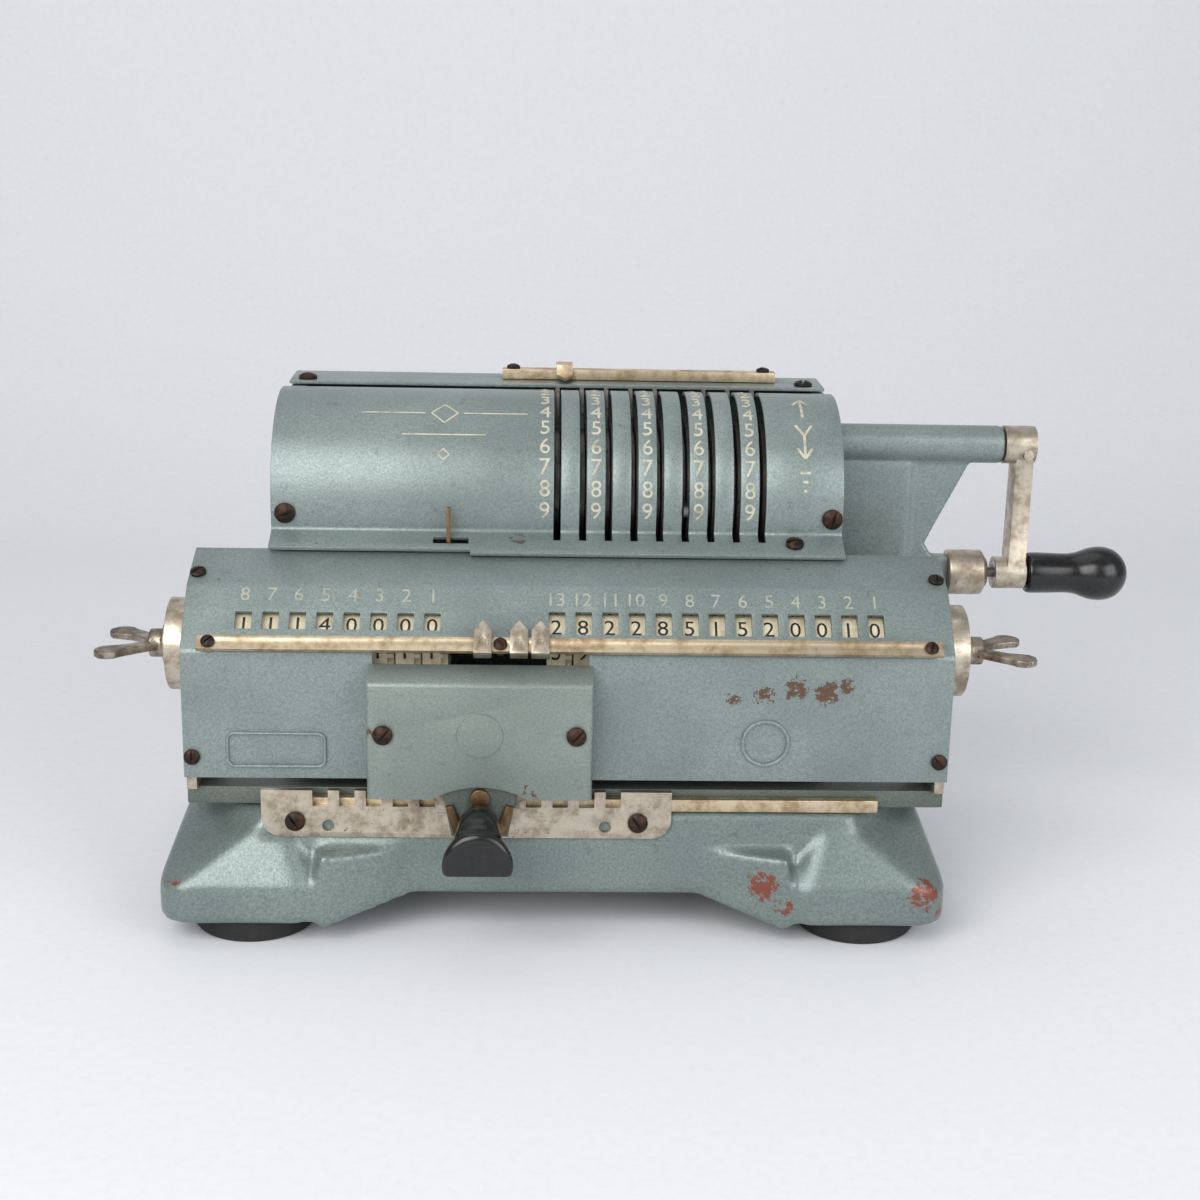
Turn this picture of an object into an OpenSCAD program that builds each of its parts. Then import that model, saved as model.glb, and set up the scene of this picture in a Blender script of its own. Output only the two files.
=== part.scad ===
// Pinwheel calculating machine with a sliding register carriage.
// Working frame: X along the drum axis, origin on the middle setting slot and on the drum axis,
// +Y to the rear, +Z up. at_drum() moves it to the part's own origin at the bottom centre.

/* [Overall] */
// Height of the drum axis above the table
axis_h = 126; // [124:1:130]
// Distance from one digit place to the next
pitch = 8; // [8:0.1:8.2]
// Thickness of the sheet metal covers
sheet_t = 1.2; // [0.8:0.1:1.3]

/* [Drum and cover] */
// Outer radius of the drum cover
cover_r = 32.4; // [32.2:0.1:32.6]
// Width of the drum cover
cover_w = 178; // [176:1:180]
// Width of one setting slot
slot_w = 2.2; // [2:0.1:2.6]
// Radius to the tip of a setting lever
lever_tip_r = 34; // [33.4:0.1:34.1]
// Angle between two digits on the drum
digit_step = 12.05; // [11.5:0.05:12.1]
// Radius of the pinwheel discs
pinwheel_r = 24; // [22:0.5:25]
// Number of setting slots
slots = 9; // [9:1:9]

/* [Crank] */
// Height of the crank shaft above the drum axis
crank_rise = 17; // [16.8:0.1:17.4]
// Distance from the crank shaft to the handle
crank_len = 43.2; // [42.5:0.1:44]
// Radius of the round grip end
grip_ball_r = 9.1; // [8:0.1:9.4]

/* [Carriage] */
// Width of the carriage cover
carriage_w = 229.9; // [229:0.1:232]
// Radius of the number wheels
wheel_r = 12.2; // [11.8:0.1:12.2]
// Number of places in the result register
result_places = 13; // [13:1:13]
// Number of places in the revolution counter
counter_places = 8; // [8:1:8]

/* [Base] */
// Width of the base across its toes
base_w = 239; // [236:1:242]
// Depth of the base across its toes
base_d = 138; // [134:1:142]
// Radius of the rubber feet
foot_r = 19; // [17:0.5:19]
// Height of the rubber feet
foot_h = 7.3; // [6:0.1:8]

/* [Hidden] */
$fn = 64;

// Colours
paint = [0.52, 0.6, 0.62];
nickel = [0.74, 0.71, 0.66];
dark_steel = [0.3, 0.28, 0.26];
rusty = [0.33, 0.22, 0.17];
bakelite = [0.07, 0.07, 0.07];
cream = [0.88, 0.85, 0.74];
rubber = [0.12, 0.12, 0.12];

// Running clearances
shaft_gap = 0.05;
body_gap = 0.3;

// Left and right ends of the machine body in the working frame
body_cx = -31.6;
body_x0 = body_cx - cover_w / 2;
body_x1 = body_cx + cover_w / 2;
frame_t = 5;
base_z = -axis_h + foot_h;
deck_z = -85.5;
front_y = -69;

// Slot positions
slot_x0 = -pitch * (slots - 1) / 2;
function slot_x(i) = slot_x0 + pitch * i;

// Drum cover: the round part ends at bend_a and a lip runs on outwards
bend_a = -13;
rear_a = 111;
lip_tilt = 25;
lip_len = [9.2, 11];
lip_step_x = -58.7;

// Carriage outline, from the rear top edge to the front bottom edge
carriage_x0 = -142.9;
carriage_x1 = carriage_x0 + carriage_w;
carriage_line = [[-37, -12.2], [-54, -19.4], [-69.5, -36], [-69.5, -75.3]];
top_tilt = 23;
digit_tilt = 47;
register_y = -52;
register_z = -38.5;
register_r = 3;
result_x0 = -32;
counter_x0 = -125.1;
wheel_w = 5.5;
wheel_off = -2.9;
gear_off = 2.6;
gear_w = 2;
window_w = 4.9;
result_window_h = 7.6;
counter_window_h = 5.7;
flange_r = 14;
flange_x = 5.4;
nut_len = 21.1;

// Transfer gears between the pinwheels and the number wheels
transfer_y = -33;
transfer_z = -25;
transfer_r = 10.5;
transfer_shaft_r = 2;

// Rotor
rotor_shaft_r = 4;
gear_tip_r = crank_rise / 2 - 0.2;
gear_x0 = 46;
gear_len = 8;
hub_r = 9.95;
pin_r = 0.9;
set_lever = 5;
// A lever set to 9 points this many degrees below the front
lever_drop = 0.3;
pin_a0 = 205;

// Crank and handle
tube_r = 6.2;
arm_x0 = 114.3;
arm_x1 = 124.5;
bush_x0 = 98.4;
bush_x1 = 109.8;
ball_x = 150.1;
tube_x1 = 113.8;
rest_pin_x = 104.4;
bush_r = 7.5;
spindle_r = 2.5;
rest_pin_r = 1.6;
handle_z = crank_rise - crank_len;

// Shift lever and its cover
lever_x = -54.4;
lever_pivot_z = -58;
lever_cover_w = 66.4;
lever_cover_y = -79.5;
lever_cover_z0 = -78.1;
rack_x = -58.4;
rack_w = 123.4;
rack_notches = 12;

// Part origin
left_tip = carriage_x0 - flange_x - nut_len;
right_tip = ball_x + grip_ball_r;
knob_front_y = -98;
rear_y = -69 - 11 + base_d;
origin_x = (left_tip + right_tip) / 2;
origin_y = (knob_front_y + rear_y) / 2;

module at_drum() translate([-origin_x, -origin_y, axis_h]) children();
module x_rod(x0, x1, r) translate([x0, 0, 0]) rotate([0, 90, 0]) cylinder(r = r, h = x1 - x0);
module y_rod(y0, y1, r) translate([0, y1, 0]) rotate([90, 0, 0]) cylinder(r = r, h = y1 - y0);
// Flat outline drawn as (Y, Z) and extruded along X
module yz_plate(x0, x1) translate([x0, 0, 0]) rotate([90, 0, 90]) linear_extrude(x1 - x0) children();
// Flat outline drawn as (X, Z) and extruded along Y
module xz_plate(y0, y1) translate([0, y1, 0]) rotate([90, 0, 0]) linear_extrude(y1 - y0) children();
module box(lo, hi) translate(lo) cube(hi - lo);
// Puts children on a face, with their +Z along the face's outward normal
module on_face(x, y, z, tilt) translate([x, y, z]) rotate([tilt, 0, 0]) children();

function arc(r, a0, a1, n) = [for (i = [0:n]) let(a = a0 + (a1 - a0) * i / n) r * [-cos(a), sin(a)]];
function side_of(a, b) = let(d = (b - a) / norm(b - a)) [-d.y, d.x];
function shifted(p, i, t) =
    i == 0 ? p[0] + t * side_of(p[0], p[1]) :
    i == len(p) - 1 ? p[i] + t * side_of(p[i - 1], p[i]) :
    let(a = side_of(p[i - 1], p[i]), b = side_of(p[i], p[i + 1]), m = (a + b) / norm(a + b))
    p[i] + m * t / (m * a);
function inset(p, t) = [for (i = [0:len(p) - 1]) shifted(p, i, t)];
function reversed(p) = [for (i = [len(p) - 1:-1:0]) p[i]];
// Bent sheet with its outer side on the line p
module bent_sheet(p, t) polygon(concat(p, reversed(inset(p, t))));
function on_line(a, b, s) = a + (b - a) * s;

function tooth(r0, r1, a, step) = [
    for (k = [[r0, -0.36], [r1, -0.16], [r1, 0.16], [r0, 0.36]])
    k[0] * [cos(a + k[1] * step), sin(a + k[1] * step)]
];
function gear_outline(n, r0, r1) = [for (i = [0:n - 1]) each tooth(r0, r1, i * 360 / n, 360 / n)];
module x_gear(x0, w, n, r0, r1) yz_plate(x0, x0 + w) polygon(gear_outline(n, r0, r1));

module slotted_screw(r, h, shank, turn) {
    difference() {
        union() {
            intersection() {
                translate([0, 0, h - 1.6 * r]) sphere(r = 1.6 * r);
                cylinder(r = r, h = h);
            }
            translate([0, 0, -shank]) cylinder(r = r / 2, h = shank + h / 3);
        }
        rotate([0, 0, turn]) translate([-r - 1, -r * 0.14, h * 0.45]) cube([2 * r + 2, r * 0.28, h]);
    }
}
module screw_hole(r) translate([0, 0, -6]) cylinder(r = r / 2 + shaft_gap, h = 7);

// Screw seats of the fixed body: x, y, z, tilt, head radius, slot angle
lip_foot = cover_r * [-cos(bend_a), sin(bend_a)];
lip_dir = [-cos(lip_tilt), -sin(lip_tilt)];
lip_seat = lip_foot + 5 * lip_dir;
cover_seats = [
    [body_x0 + 4.4, -cover_r * cos(3.5), -cover_r * sin(3.5), 93.5, 3.2, 20],
    [body_x1 - 3.4, -cover_r * cos(3.5), -cover_r * sin(3.5), 93.5, 3.2, 70],
    [42, lip_seat.x, lip_seat.y, lip_tilt, 2.8, 10]
];
rear_line = [[14.2, 32.5], [33.5, 33.3], [46, -20], [rear_y - 9, deck_z]];
rail_y = 25;
rail_z = 33.1;
rear_seats = [[body_x0 + 6, 19, 32.72, 2.4, 3, 35], [body_x1 - 7, 19, 32.72, 2.4, 3, 80]];
rail_x = [-50.2, 41.4];
rail_seats = [[-46.6, rail_y, rail_z + 3.2, 0, 2.2, 15], [37.4, rail_y, rail_z + 3.2, 0, 2.2, 60]];
rack_seats = [for (s = [-1, 1]) [rack_x + s * 51.6, front_y - 2, -88.4, 90, 3, 40 + 90 * s]];

// Screw seats of the carriage
rail_seat = on_line(carriage_line[1], carriage_line[2], 0.934);
carriage_cover_seats = [
    for (x = [carriage_x0 + 2.6, carriage_x1 - 2.9])
    each [[x, -49, -17.26, top_tilt, 2.4, x], [x, -69.5, -68.7, 90, 2.4, x + 50]]
];
marker_rail_seats = [
    for (x = [-134.2, -48.7, 79.2]) [x, rail_seat.x, rail_seat.y, digit_tilt, 2, x]
];
lever_cover_seats = [
    for (s = [-1, 1]) [lever_x + s * 28.4, lever_cover_y, lever_pivot_z, 90, 2.9, 45]
];

module base_casting() color(paint) at_drum() {
    toe_x = [body_cx - base_w / 2, body_cx + base_w / 2 - 50];
    toe_y = [front_y - 11, rear_y - 46];
    difference() {
        union() {
            hull() {
                box([body_x0 + 2, front_y, deck_z - 1], [body_x1 + 1, rear_y - 11, deck_z]);
                box([body_cx - 113, front_y + 24, deck_z - 1], [body_cx + 113, rear_y - 35, deck_z]);
                box([body_x0, front_y - 1, -94], [body_x1 + 3, rear_y - 10, -93]);
                box([body_cx - 115, front_y + 26, -94], [body_cx + 115, rear_y - 35, -93]);
            }
            box([body_cx - 90, front_y - 1.5, -112.5], [body_cx + 90, front_y + 4, -93]);
            box([body_cx - 90, rear_y - 14, -112.5], [body_cx + 90, rear_y - 9.5, -93]);
            box([body_cx - 115, front_y + 30, -112.5], [body_cx - 110, rear_y - 34, -93]);
            box([body_cx + 110, front_y + 30, -112.5], [body_cx + 115, rear_y - 34, -93]);
            for (i = [0, 1], j = [0, 1]) hull() {
                for (u = [9, 41], v = [9, 37])
                    translate([toe_x[i] + u, toe_y[j] + v, base_z]) cylinder(r = 9, h = 12, $fn = 24);
                translate([0, 0, -93]) linear_extrude(6) polygon([
                    [corner_x(i, 84), corner_y(j, 1)], [corner_x(i, 113), corner_y(j, 26)],
                    [corner_x(i, 113), corner_y(j, 44)], [corner_x(i, 66), corner_y(j, 30)]
                ]);
            }
        }
        translate([0, 0, base_z - 1]) linear_extrude(deck_z - 4 - base_z) polygon([
            for (p = [[-84, 5], [84, 5], [108, 30]]) [body_cx + p.x, front_y + p.y],
            for (p = [[108, 30], [84, 5], [-84, 5], [-108, 30]]) [body_cx + p.x, rear_y - 11 - p.y],
            [body_cx - 108, front_y + 30]
        ]);
        for (i = [0, 1], j = [0, 1])
            translate([foot_x(i), foot_y(j), base_z - 1]) cylinder(r = 2.6, h = 6);
        box([rack_x - rack_w / 2 - 0.3, front_y - 9, -93.8], [rack_x + rack_w / 2 + 0.3, front_y, -80]);
    }
    for (i = [0, 1], j = [0, 1]) translate([foot_x(i), foot_y(j), base_z]) difference() {
        cylinder(r = foot_r - 1, h = 8);
        translate([0, 0, -1]) cylinder(r = 2.6, h = 6);
    }
}
function corner_x(i, dx) = body_cx + (i == 0 ? -dx : dx);
function corner_y(j, dy) = j == 0 ? front_y + dy : rear_y - 11 - dy;
function foot_x(i) = body_cx + 0.9 + (i == 0 ? -1 : 1) * 93.7;
function foot_y(j) = j == 0 ? front_y - 11 + 22.5 : rear_y - 22.5;

module rubber_feet() color(rubber) at_drum()
    for (i = [0, 1], j = [0, 1]) translate([foot_x(i), foot_y(j), -axis_h]) {
        cylinder(r1 = foot_r - 1, r2 = foot_r, h = 1.5);
        translate([0, 0, 1.5]) cylinder(r = foot_r, h = foot_h - 1.5);
        cylinder(r = 2.5, h = foot_h + 4);
    }

// Side plate under the ends of the drum cover, with its front edge behind the carriage
frame_line = [
    [-28, -8], [-35.8, -12.8], [-36.5, -20], [-36.5, deck_z], [rear_y - 10.5, deck_z],
    [44.6, -20], [32.4, 31.6], [14.6, 30.8], [0, 20]
];
module side_plate(x0, x1) difference() {
    union() {
        yz_plate(x0, x1) polygon(frame_line);
        x_rod(x0, x1, cover_r - sheet_t - 0.02);
    }
    x_rod(x0 - 1, x1 + 1, rotor_shaft_r + shaft_gap);
    translate([0, transfer_y, transfer_z]) x_rod(x0 - 1, x1 + 1, transfer_shaft_r);
}
module side_frame_left() color(paint) at_drum() side_plate(body_x0 + 1, body_x0 + 1 + frame_t);

module side_frame_right() color(paint) at_drum() difference() {
    union() {
        side_plate(body_x1 - frame_t, body_x1);
        translate([0, 0, crank_rise]) x_rod(body_x1 - frame_t, tube_x1, tube_r);
        xz_plate(-3, 3) polygon([
            [body_x1, crank_rise], [104, crank_rise], [103, crank_rise - tube_r], [90, -16],
            [93, -20.4], [bush_x0, -20.4], [bush_x0, -33], [80, -36], [body_x1 + 4, -60],
            [body_x1, -60]
        ]);
        box([body_x1, -4, -50], [84, -3, crank_rise - tube_r]);
    }
    translate([0, 0, crank_rise]) x_rod(body_x1 - frame_t - 1, tube_x1 + 1, rotor_shaft_r + shaft_gap);
}

module drum_cover() color(paint) at_drum() difference() {
    lip = [for (n = lip_len) [lip_foot, lip_foot + n * lip_dir]];
    union() {
        intersection() {
            difference() {
                x_rod(body_x0, body_x1, cover_r);
                x_rod(body_x0 - 1, body_x1 + 1, cover_r - sheet_t);
            }
            yz_plate(body_x0, body_x1)
                polygon(concat([[0, 0]], arc(60, bend_a, rear_a, 6)));
        }
        yz_plate(body_x0, lip_step_x) bent_sheet(lip[0], sheet_t);
        yz_plate(lip_step_x, body_x1) bent_sheet(lip[1], sheet_t);
    }
    for (i = [0:slots - 1])
        box([slot_x(i) - slot_w / 2, -35.4, lip_foot.y - 1.7], [slot_x(i) + slot_w / 2, 14, 50]);
    box([-70.3, -37.2, -20], [-59.4, -34.4, 0]);
    for (s = cover_seats) on_face(s[0], s[1], s[2], s[3]) screw_hole(s[4]);
}

module rear_cover() color(paint) at_drum() difference() {
    yz_plate(body_x0 + 0.5, body_x1 - 0.5) bent_sheet(reversed(rear_line), 1);
    for (s = concat(rear_seats, [for (r = rail_seats) [r[0], r[1], rail_z, 0, 2.2]]))
        on_face(s[0], s[1], s[2], s[3]) screw_hole(s[4]);
}

module frame_screws() color(rusty) at_drum() {
    for (s = concat(cover_seats, rear_seats))
        on_face(s[0], s[1], s[2], s[3]) slotted_screw(s[4], 1.9, 1.1, s[5]);
    for (s = rail_seats) on_face(s[0], s[1], s[2], s[3]) slotted_screw(s[4], 1.6, 3.6, s[5]);
    for (s = rack_seats) on_face(s[0], s[1], s[2], s[3]) slotted_screw(s[4], 1.8, 1.9, s[5]);
}

module top_marker_rail() color(nickel) at_drum() difference() {
    box([rail_x[0], rail_y - 2.8, rail_z], [rail_x[1], rail_y + 2.8, rail_z + 3.2]);
    for (s = rail_seats) on_face(s[0], s[1], s[2], 0) screw_hole(s[4]);
}
top_marker_x = -29.5;
module top_marker() color(nickel) at_drum() translate([top_marker_x, 0, 0]) {
    y0 = rail_y - 2.8 - body_gap;
    y1 = rail_y + 2.8 + body_gap;
    z1 = rail_z + 3.2 + body_gap;
    difference() {
        box([-2.7, y0 - 1, rail_z + 0.7], [2.7, y1 + 1, z1 + 1.6]);
        box([-3, y0, rail_z - 1], [3, y1, z1]);
    }
    translate([0, 0, rail_z + 0.7]) linear_extrude(1.2)
        polygon([[-2.7, y0 - 0.5], [2.7, y0 - 0.5], [0, 12.5]]);
}

module step_rack() color(nickel) at_drum() difference() {
    x0 = rack_x - rack_w / 2;
    x1 = rack_x + rack_w / 2;
    corner = 6;
    xz_plate(front_y - 2, front_y) polygon(concat(
        [[x0, -78.6], [x1, -78.6]],
        [for (i = [0:6]) [x1 - corner, -87.5] + corner * [cos(15 * i), -sin(15 * i)]],
        [for (i = [6:-1:0]) [x0 + corner, -87.5] - corner * [cos(15 * i), sin(15 * i)]]
    ));
    for (i = [0:rack_notches - 1]) {
        x = rack_x + pitch * (i - (rack_notches - 1) / 2);
        box([x - 2.3, front_y - 3, -83.6], [x + 2.3, front_y + 1, -78]);
    }
    for (s = rack_seats) on_face(s[0], s[1], s[2], s[3]) screw_hole(s[4]);
    for (s = [-1, 1])
        translate([rack_x + s * 41.7, 0, -89.8]) y_rod(front_y - 3, front_y + 1, 1.8);
}
module guide_rail() color(nickel) at_drum()
    box([body_cx - 87, front_y, deck_z], [body_cx + 98, front_y + 3, -81.6]);

module crank_rest_bush() color(nickel) at_drum() translate([0, 0, handle_z]) difference() {
    union() {
        x_rod(bush_x0, bush_x1, bush_r);
        translate([bush_x1, 0, 0]) rotate([0, 90, 0]) cylinder(r1 = bush_r, r2 = 4.6, h = 1.8);
    }
    x_rod(bush_x0 + 2, bush_x1 + 3, rest_pin_r + shaft_gap);
}
module transfer_shaft() color(dark_steel) at_drum()
    translate([0, transfer_y, transfer_z]) x_rod(body_x0 + 1, body_x1, transfer_shaft_r);
module transfer_gears() color(nickel) at_drum() translate([0, transfer_y, transfer_z])
    for (i = [0:slots - 1]) difference() {
        x_gear(slot_x(i) + gear_off, gear_w, 20, transfer_r - 2, transfer_r);
        x_rod(slot_x(i), slot_x(i) + pitch, transfer_shaft_r + shaft_gap);
    }

module rotor_shaft() color(dark_steel) at_drum() x_rod(body_x0 + 1, body_x1 - body_gap, rotor_shaft_r);
module rotor_gear() color(nickel) at_drum() difference() {
    x_gear(gear_x0, gear_len - 2.3, 16, gear_tip_r - 1.6, gear_tip_r);
    x_rod(gear_x0 - 1, gear_x0 + gear_len, rotor_shaft_r);
}
module pinwheels() color(nickel) at_drum() for (i = [0:slots - 1]) translate([slot_x(i), 0, 0]) {
    difference() {
        union() {
            x_rod(1.1, 4.4, pinwheel_r);
            x_rod(-1, 1.1, hub_r);
            for (k = [0:slots - 1]) rotate([pin_a0 + digit_step * k, 0, 0])
                translate([2.9, 0, pinwheel_r - 2])
                    cylinder(r = pin_r, h = i == set_lever ? 8.2 : 2.8, $fn = 24);
        }
        x_rod(-2, 5, rotor_shaft_r);
    }
}
function lever_digit(i) = i == set_lever ? 9 : 0;
module setting_lever(i) color(nickel) at_drum() translate([slot_x(i), 0, 0]) {
    raised = digit_step * (9 - lever_digit(i)) - lever_drop;
    rotate([90 - raised, 0, 0]) lever_plate();
}
// Lever on its ring, pointing straight up before it is turned
module lever_plate() {
    difference() {
        x_rod(-0.7, 0.7, 20);
        x_rod(-1, 1, hub_r + shaft_gap);
    }
    box([-0.7, -1.6, 19], [0.7, 1.6, lever_tip_r - 1.6]);
    translate([0, 0, lever_tip_r - 1.6]) x_rod(-0.7, 0.7, 1.6);
}

module crank_shaft() color(dark_steel) at_drum()
    translate([0, 0, crank_rise]) x_rod(gear_x0 - 2, arm_x1 - 1, rotor_shaft_r);
module crank_gear() color(nickel) at_drum() translate([0, 0, crank_rise]) difference() {
    x_gear(gear_x0, gear_len - 2.3, 16, gear_tip_r - 1.6, gear_tip_r);
    x_rod(gear_x0 - 1, gear_x0 + gear_len, rotor_shaft_r);
}
module crank_arm() color(nickel) at_drum() difference() {
    union() {
        translate([0, 0, crank_rise]) x_rod(arm_x0, arm_x1, 6.2);
        translate([0, 0, handle_z]) x_rod(bush_x1 + 4.4, arm_x1, 5.3);
        box([arm_x1 - 6.3, -4.6, handle_z], [arm_x1 - 0.6, 4.6, crank_rise]);
        translate([arm_x1 - 3, 0, crank_rise - 2.5]) y_rod(-7.2, -5, 1.6);
    }
    translate([0, 0, crank_rise]) x_rod(arm_x0 - 1, arm_x1 - 1, rotor_shaft_r);
    translate([0, 0, handle_z]) x_rod(bush_x1, arm_x1 + 1, spindle_r + shaft_gap);
}
module handle_spindle() color(dark_steel) at_drum() translate([0, 0, handle_z]) {
    x_rod(rest_pin_x, bush_x1 + 4.4, rest_pin_r);
    x_rod(bush_x1 + 4.4, ball_x - 7, spindle_r);
}
module handle_grip() color(bakelite) at_drum() translate([0, 0, handle_z]) difference() {
    union() {
        x_rod(arm_x1 + 0.4, ball_x - 6, 6.8);
        translate([ball_x, 0, 0]) sphere(r = grip_ball_r);
        translate([ball_x - 10, 0, 0]) rotate([0, 90, 0]) cylinder(r1 = 6.8, r2 = 8.2, h = 6);
    }
    x_rod(arm_x1, ball_x - 7, spindle_r + shaft_gap);
}

slot_lever_x = -65.6;
module slot_lever() color(nickel) at_drum() {
    xs = slot_lever_x;
    box([xs - 0.6, -36.2, -12.8], [xs + 0.6, -34.6, 1]);
    box([xs - 0.6, -36.2, -12.8], [xs + 2.6, -34.8, -11.4]);
}

module carriage_cover() color(paint) at_drum() difference() {
    yz_plate(carriage_x0, carriage_x1) bent_sheet(carriage_line, sheet_t);
    for (i = [0:result_places - 1])
        window(result_x0 + pitch * i, result_window_h);
    for (i = [0:counter_places - 1])
        window(counter_x0 + pitch * i, counter_window_h);
    box([lever_x - 32, -80, -66], [lever_x + 32, -60, -35.2]);
    for (s = carriage_cover_seats) on_face(s[0], s[1], s[2], s[3]) screw_hole(s[4]);
    for (s = marker_rail_seats) on_face(s[0], s[1], s[2], s[3]) screw_hole(s[4]);
}
window_mid = on_line(carriage_line[1], carriage_line[2], 0.53);
module window(x, h) on_face(x, window_mid.x, window_mid.y, digit_tilt)
    translate([-window_w / 2, -h / 2, -3]) cube([window_w, h, 6]);

module carriage_end_plates() color(nickel) at_drum() {
    line = inset(carriage_line, sheet_t + 0.02);
    foot = -79.5;
    for (s = [0, 1]) {
        x0 = s == 0 ? carriage_x0 + 0.5 : carriage_x1 - 3.5;
        out = s == 0
            ? [carriage_x0 - flange_x, carriage_x0 + 1]
            : [carriage_x1 - 1, carriage_x1 + flange_x];
        difference() {
            union() {
                yz_plate(x0, x0 + 3) polygon([
                    on_line(line[0], line[1], 0.25), line[1], line[2], [line[3].x, foot], [-41, foot]
                ]);
                translate([0, register_y, register_z]) x_rod(out[0], out[1], flange_r);
            }
            translate([0, register_y, register_z]) x_rod(out[0] - 1, out[1] + 4, register_r);
            translate([0, register_y, register_z]) x_rod(x0 - 1, x0 + 4, register_r);
        }
    }
}
module carriage_base_plate() color(dark_steel) at_drum()
    box([carriage_x0, -65.5, -85], [carriage_x1, -41, -79.5]);
module register_shaft() color(dark_steel) at_drum() translate([0, register_y, register_z])
    x_rod(carriage_x0 - flange_x - 5, carriage_x1 + flange_x + 5, register_r);

rail_t = 1.6;
rail_h = 4.6;
rail_lift = 2;
module marker_rail() color(nickel) at_drum() difference() {
    on_face(0, rail_seat.x, rail_seat.y, digit_tilt) union() {
        box([-137.6, -rail_h / 2, rail_lift], [82.8, rail_h / 2, rail_lift + rail_t]);
        for (s = marker_rail_seats) translate([s[0], 0, 0]) cylinder(r = 1.9, h = rail_lift);
    }
    for (s = marker_rail_seats)
        on_face(s[0], s[1], s[2], s[3]) translate([0, 0, -3]) cylinder(r = 1 + shaft_gap, h = 9);
}
marker_x = [-53.9, -43.2, -36.9];
module decimal_marker(i) color(nickel) at_drum()
    on_face(marker_x[i], rail_seat.x, rail_seat.y, digit_tilt) difference() {
        z0 = rail_lift - body_gap;
        z1 = rail_lift + rail_t + body_gap;
        translate([0, 0, z0 - 0.7]) linear_extrude(z1 - z0 + 1.5) polygon([
            [-2.65, -rail_h / 2 - 1.1], [2.65, -rail_h / 2 - 1.1], [2.65, 4.4], [0, 7.5], [-2.65, 4.4]
        ]);
        box([-3, -rail_h / 2 - body_gap, z0], [3, rail_h / 2 + body_gap, z1]);
        box([-3, rail_h / 2 + 1.1, z0 - 1], [3, 12, z1]);
        translate([0, 0.4, z1 + 0.5]) cylinder(r = 0.9, h = 1);
    }

module lever_cover() color(paint) at_drum() translate([lever_x, 0, 0]) difference() {
    w = lever_cover_w / 2;
    outer = [[-69.5, -39.2], [lever_cover_y, -42.4], [lever_cover_y, lever_cover_z0]];
    union() {
        yz_plate(-w, w) bent_sheet(outer, sheet_t);
        for (x = [-w, w - sheet_t]) yz_plate(x, x + sheet_t)
            polygon(concat(outer, [[-71.5, lever_cover_z0], [-69.5, -70]]));
        translate([0, 0, lever_pivot_z]) y_rod(lever_cover_y - 0.5, lever_cover_y + 0.1, 6.7);
        translate([0, 0, lever_pivot_z]) y_rod(lever_cover_y, -70.5, 3);
        for (s = [-1, 1]) translate([s * 28.4, 0, lever_pivot_z]) y_rod(lever_cover_y + 1, -69.5, 3);
    }
    translate([0, 0, lever_cover_z0 - 24.3]) y_rod(lever_cover_y - 2, lever_cover_y + 3, 28.2);
    for (s = lever_cover_seats)
        on_face(s[0] - lever_x, s[1], s[2], s[3]) translate([0, 0, -3]) cylinder(r = 1.5, h = 4);
}
module carriage_screws() color(rusty) at_drum() {
    for (s = carriage_cover_seats)
        on_face(s[0], s[1], s[2], s[3]) slotted_screw(s[4], 1.6, 1.1, s[5]);
    for (s = marker_rail_seats)
        on_face(s[0], s[1], s[2], s[3]) translate([0, 0, rail_lift + rail_t])
            slotted_screw(s[4], 1.3, 3.5, s[5]);
    for (s = lever_cover_seats)
        on_face(s[0], s[1], s[2], s[3]) slotted_screw(s[4], 1.8, 2.5, s[5]);
}

module shift_lever() color(paint) at_drum() translate([lever_x, 0, lever_pivot_z]) difference() {
    union() {
        y_rod(-77.6, -71, 6.5);
        xz_plate(-77.6, -74.6) polygon([
            [-6, 0], [6, 0], [10.8, -20], [8.4, -32.4], [-8.4, -32.4], [-10.8, -20]
        ]);
        for (s = [-1, 1]) {
            xz_plate(-77.6, -74.6)
                polygon([[0, -12], [s * 17.6, -12], [s * 17.6, -18.2], [0, -18.2]]);
            box([s * 16 - 1.6, -74.6, -18.2], [s * 16 + 1.6, -69.8, -13]);
        }
    }
    y_rod(-79, -70, 3 + shaft_gap);
}
module shift_knob() color(bakelite) at_drum() translate([lever_x, 0, lever_pivot_z]) {
    translate([0, 0, -26.5]) y_rod(-86, -77.6, 5.4);
    hull() {
        translate([0, 0, -26.5]) y_rod(-85, -84, 5.4, $fn = 32);
        intersection() {
            translate([0, 0, -34]) y_rod(knob_front_y, knob_front_y + 3, 10.4, $fn = 32);
            translate([-20, knob_front_y, -37]) cube([40, 3, 14]);
        }
    }
}

// Wing nut on the end of the register shaft, drawn pointing along +X
module wing_nut() {
    difference() {
        union() {
            x_rod(0.3, 2.2, 6.5);
            x_rod(2.2, 6.6, 4.3);
            for (s = [-1, 1]) translate([0, 0, -1.1]) linear_extrude(2.2) polygon(concat(
                [[2.8, 0], [6.4, 0]],
                [[13, s * 5.2]],
                [for (k = [0:6]) [nut_len - 4.3, s * 10.6]
                    + 4.3 * [cos(-50 + 35 * k), s * sin(-50 + 35 * k)]],
                [[3, s * 3.8]]
            ));
        }
        x_rod(-1, 5.2, register_r + shaft_gap);
    }
}
module result_clear_nut() color(nickel) at_drum()
    translate([carriage_x1 + flange_x, register_y, register_z]) wing_nut();
module counter_clear_nut() color(nickel) at_drum()
    translate([carriage_x0 - flange_x, register_y, register_z]) rotate([0, 0, 180]) wing_nut();

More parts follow.
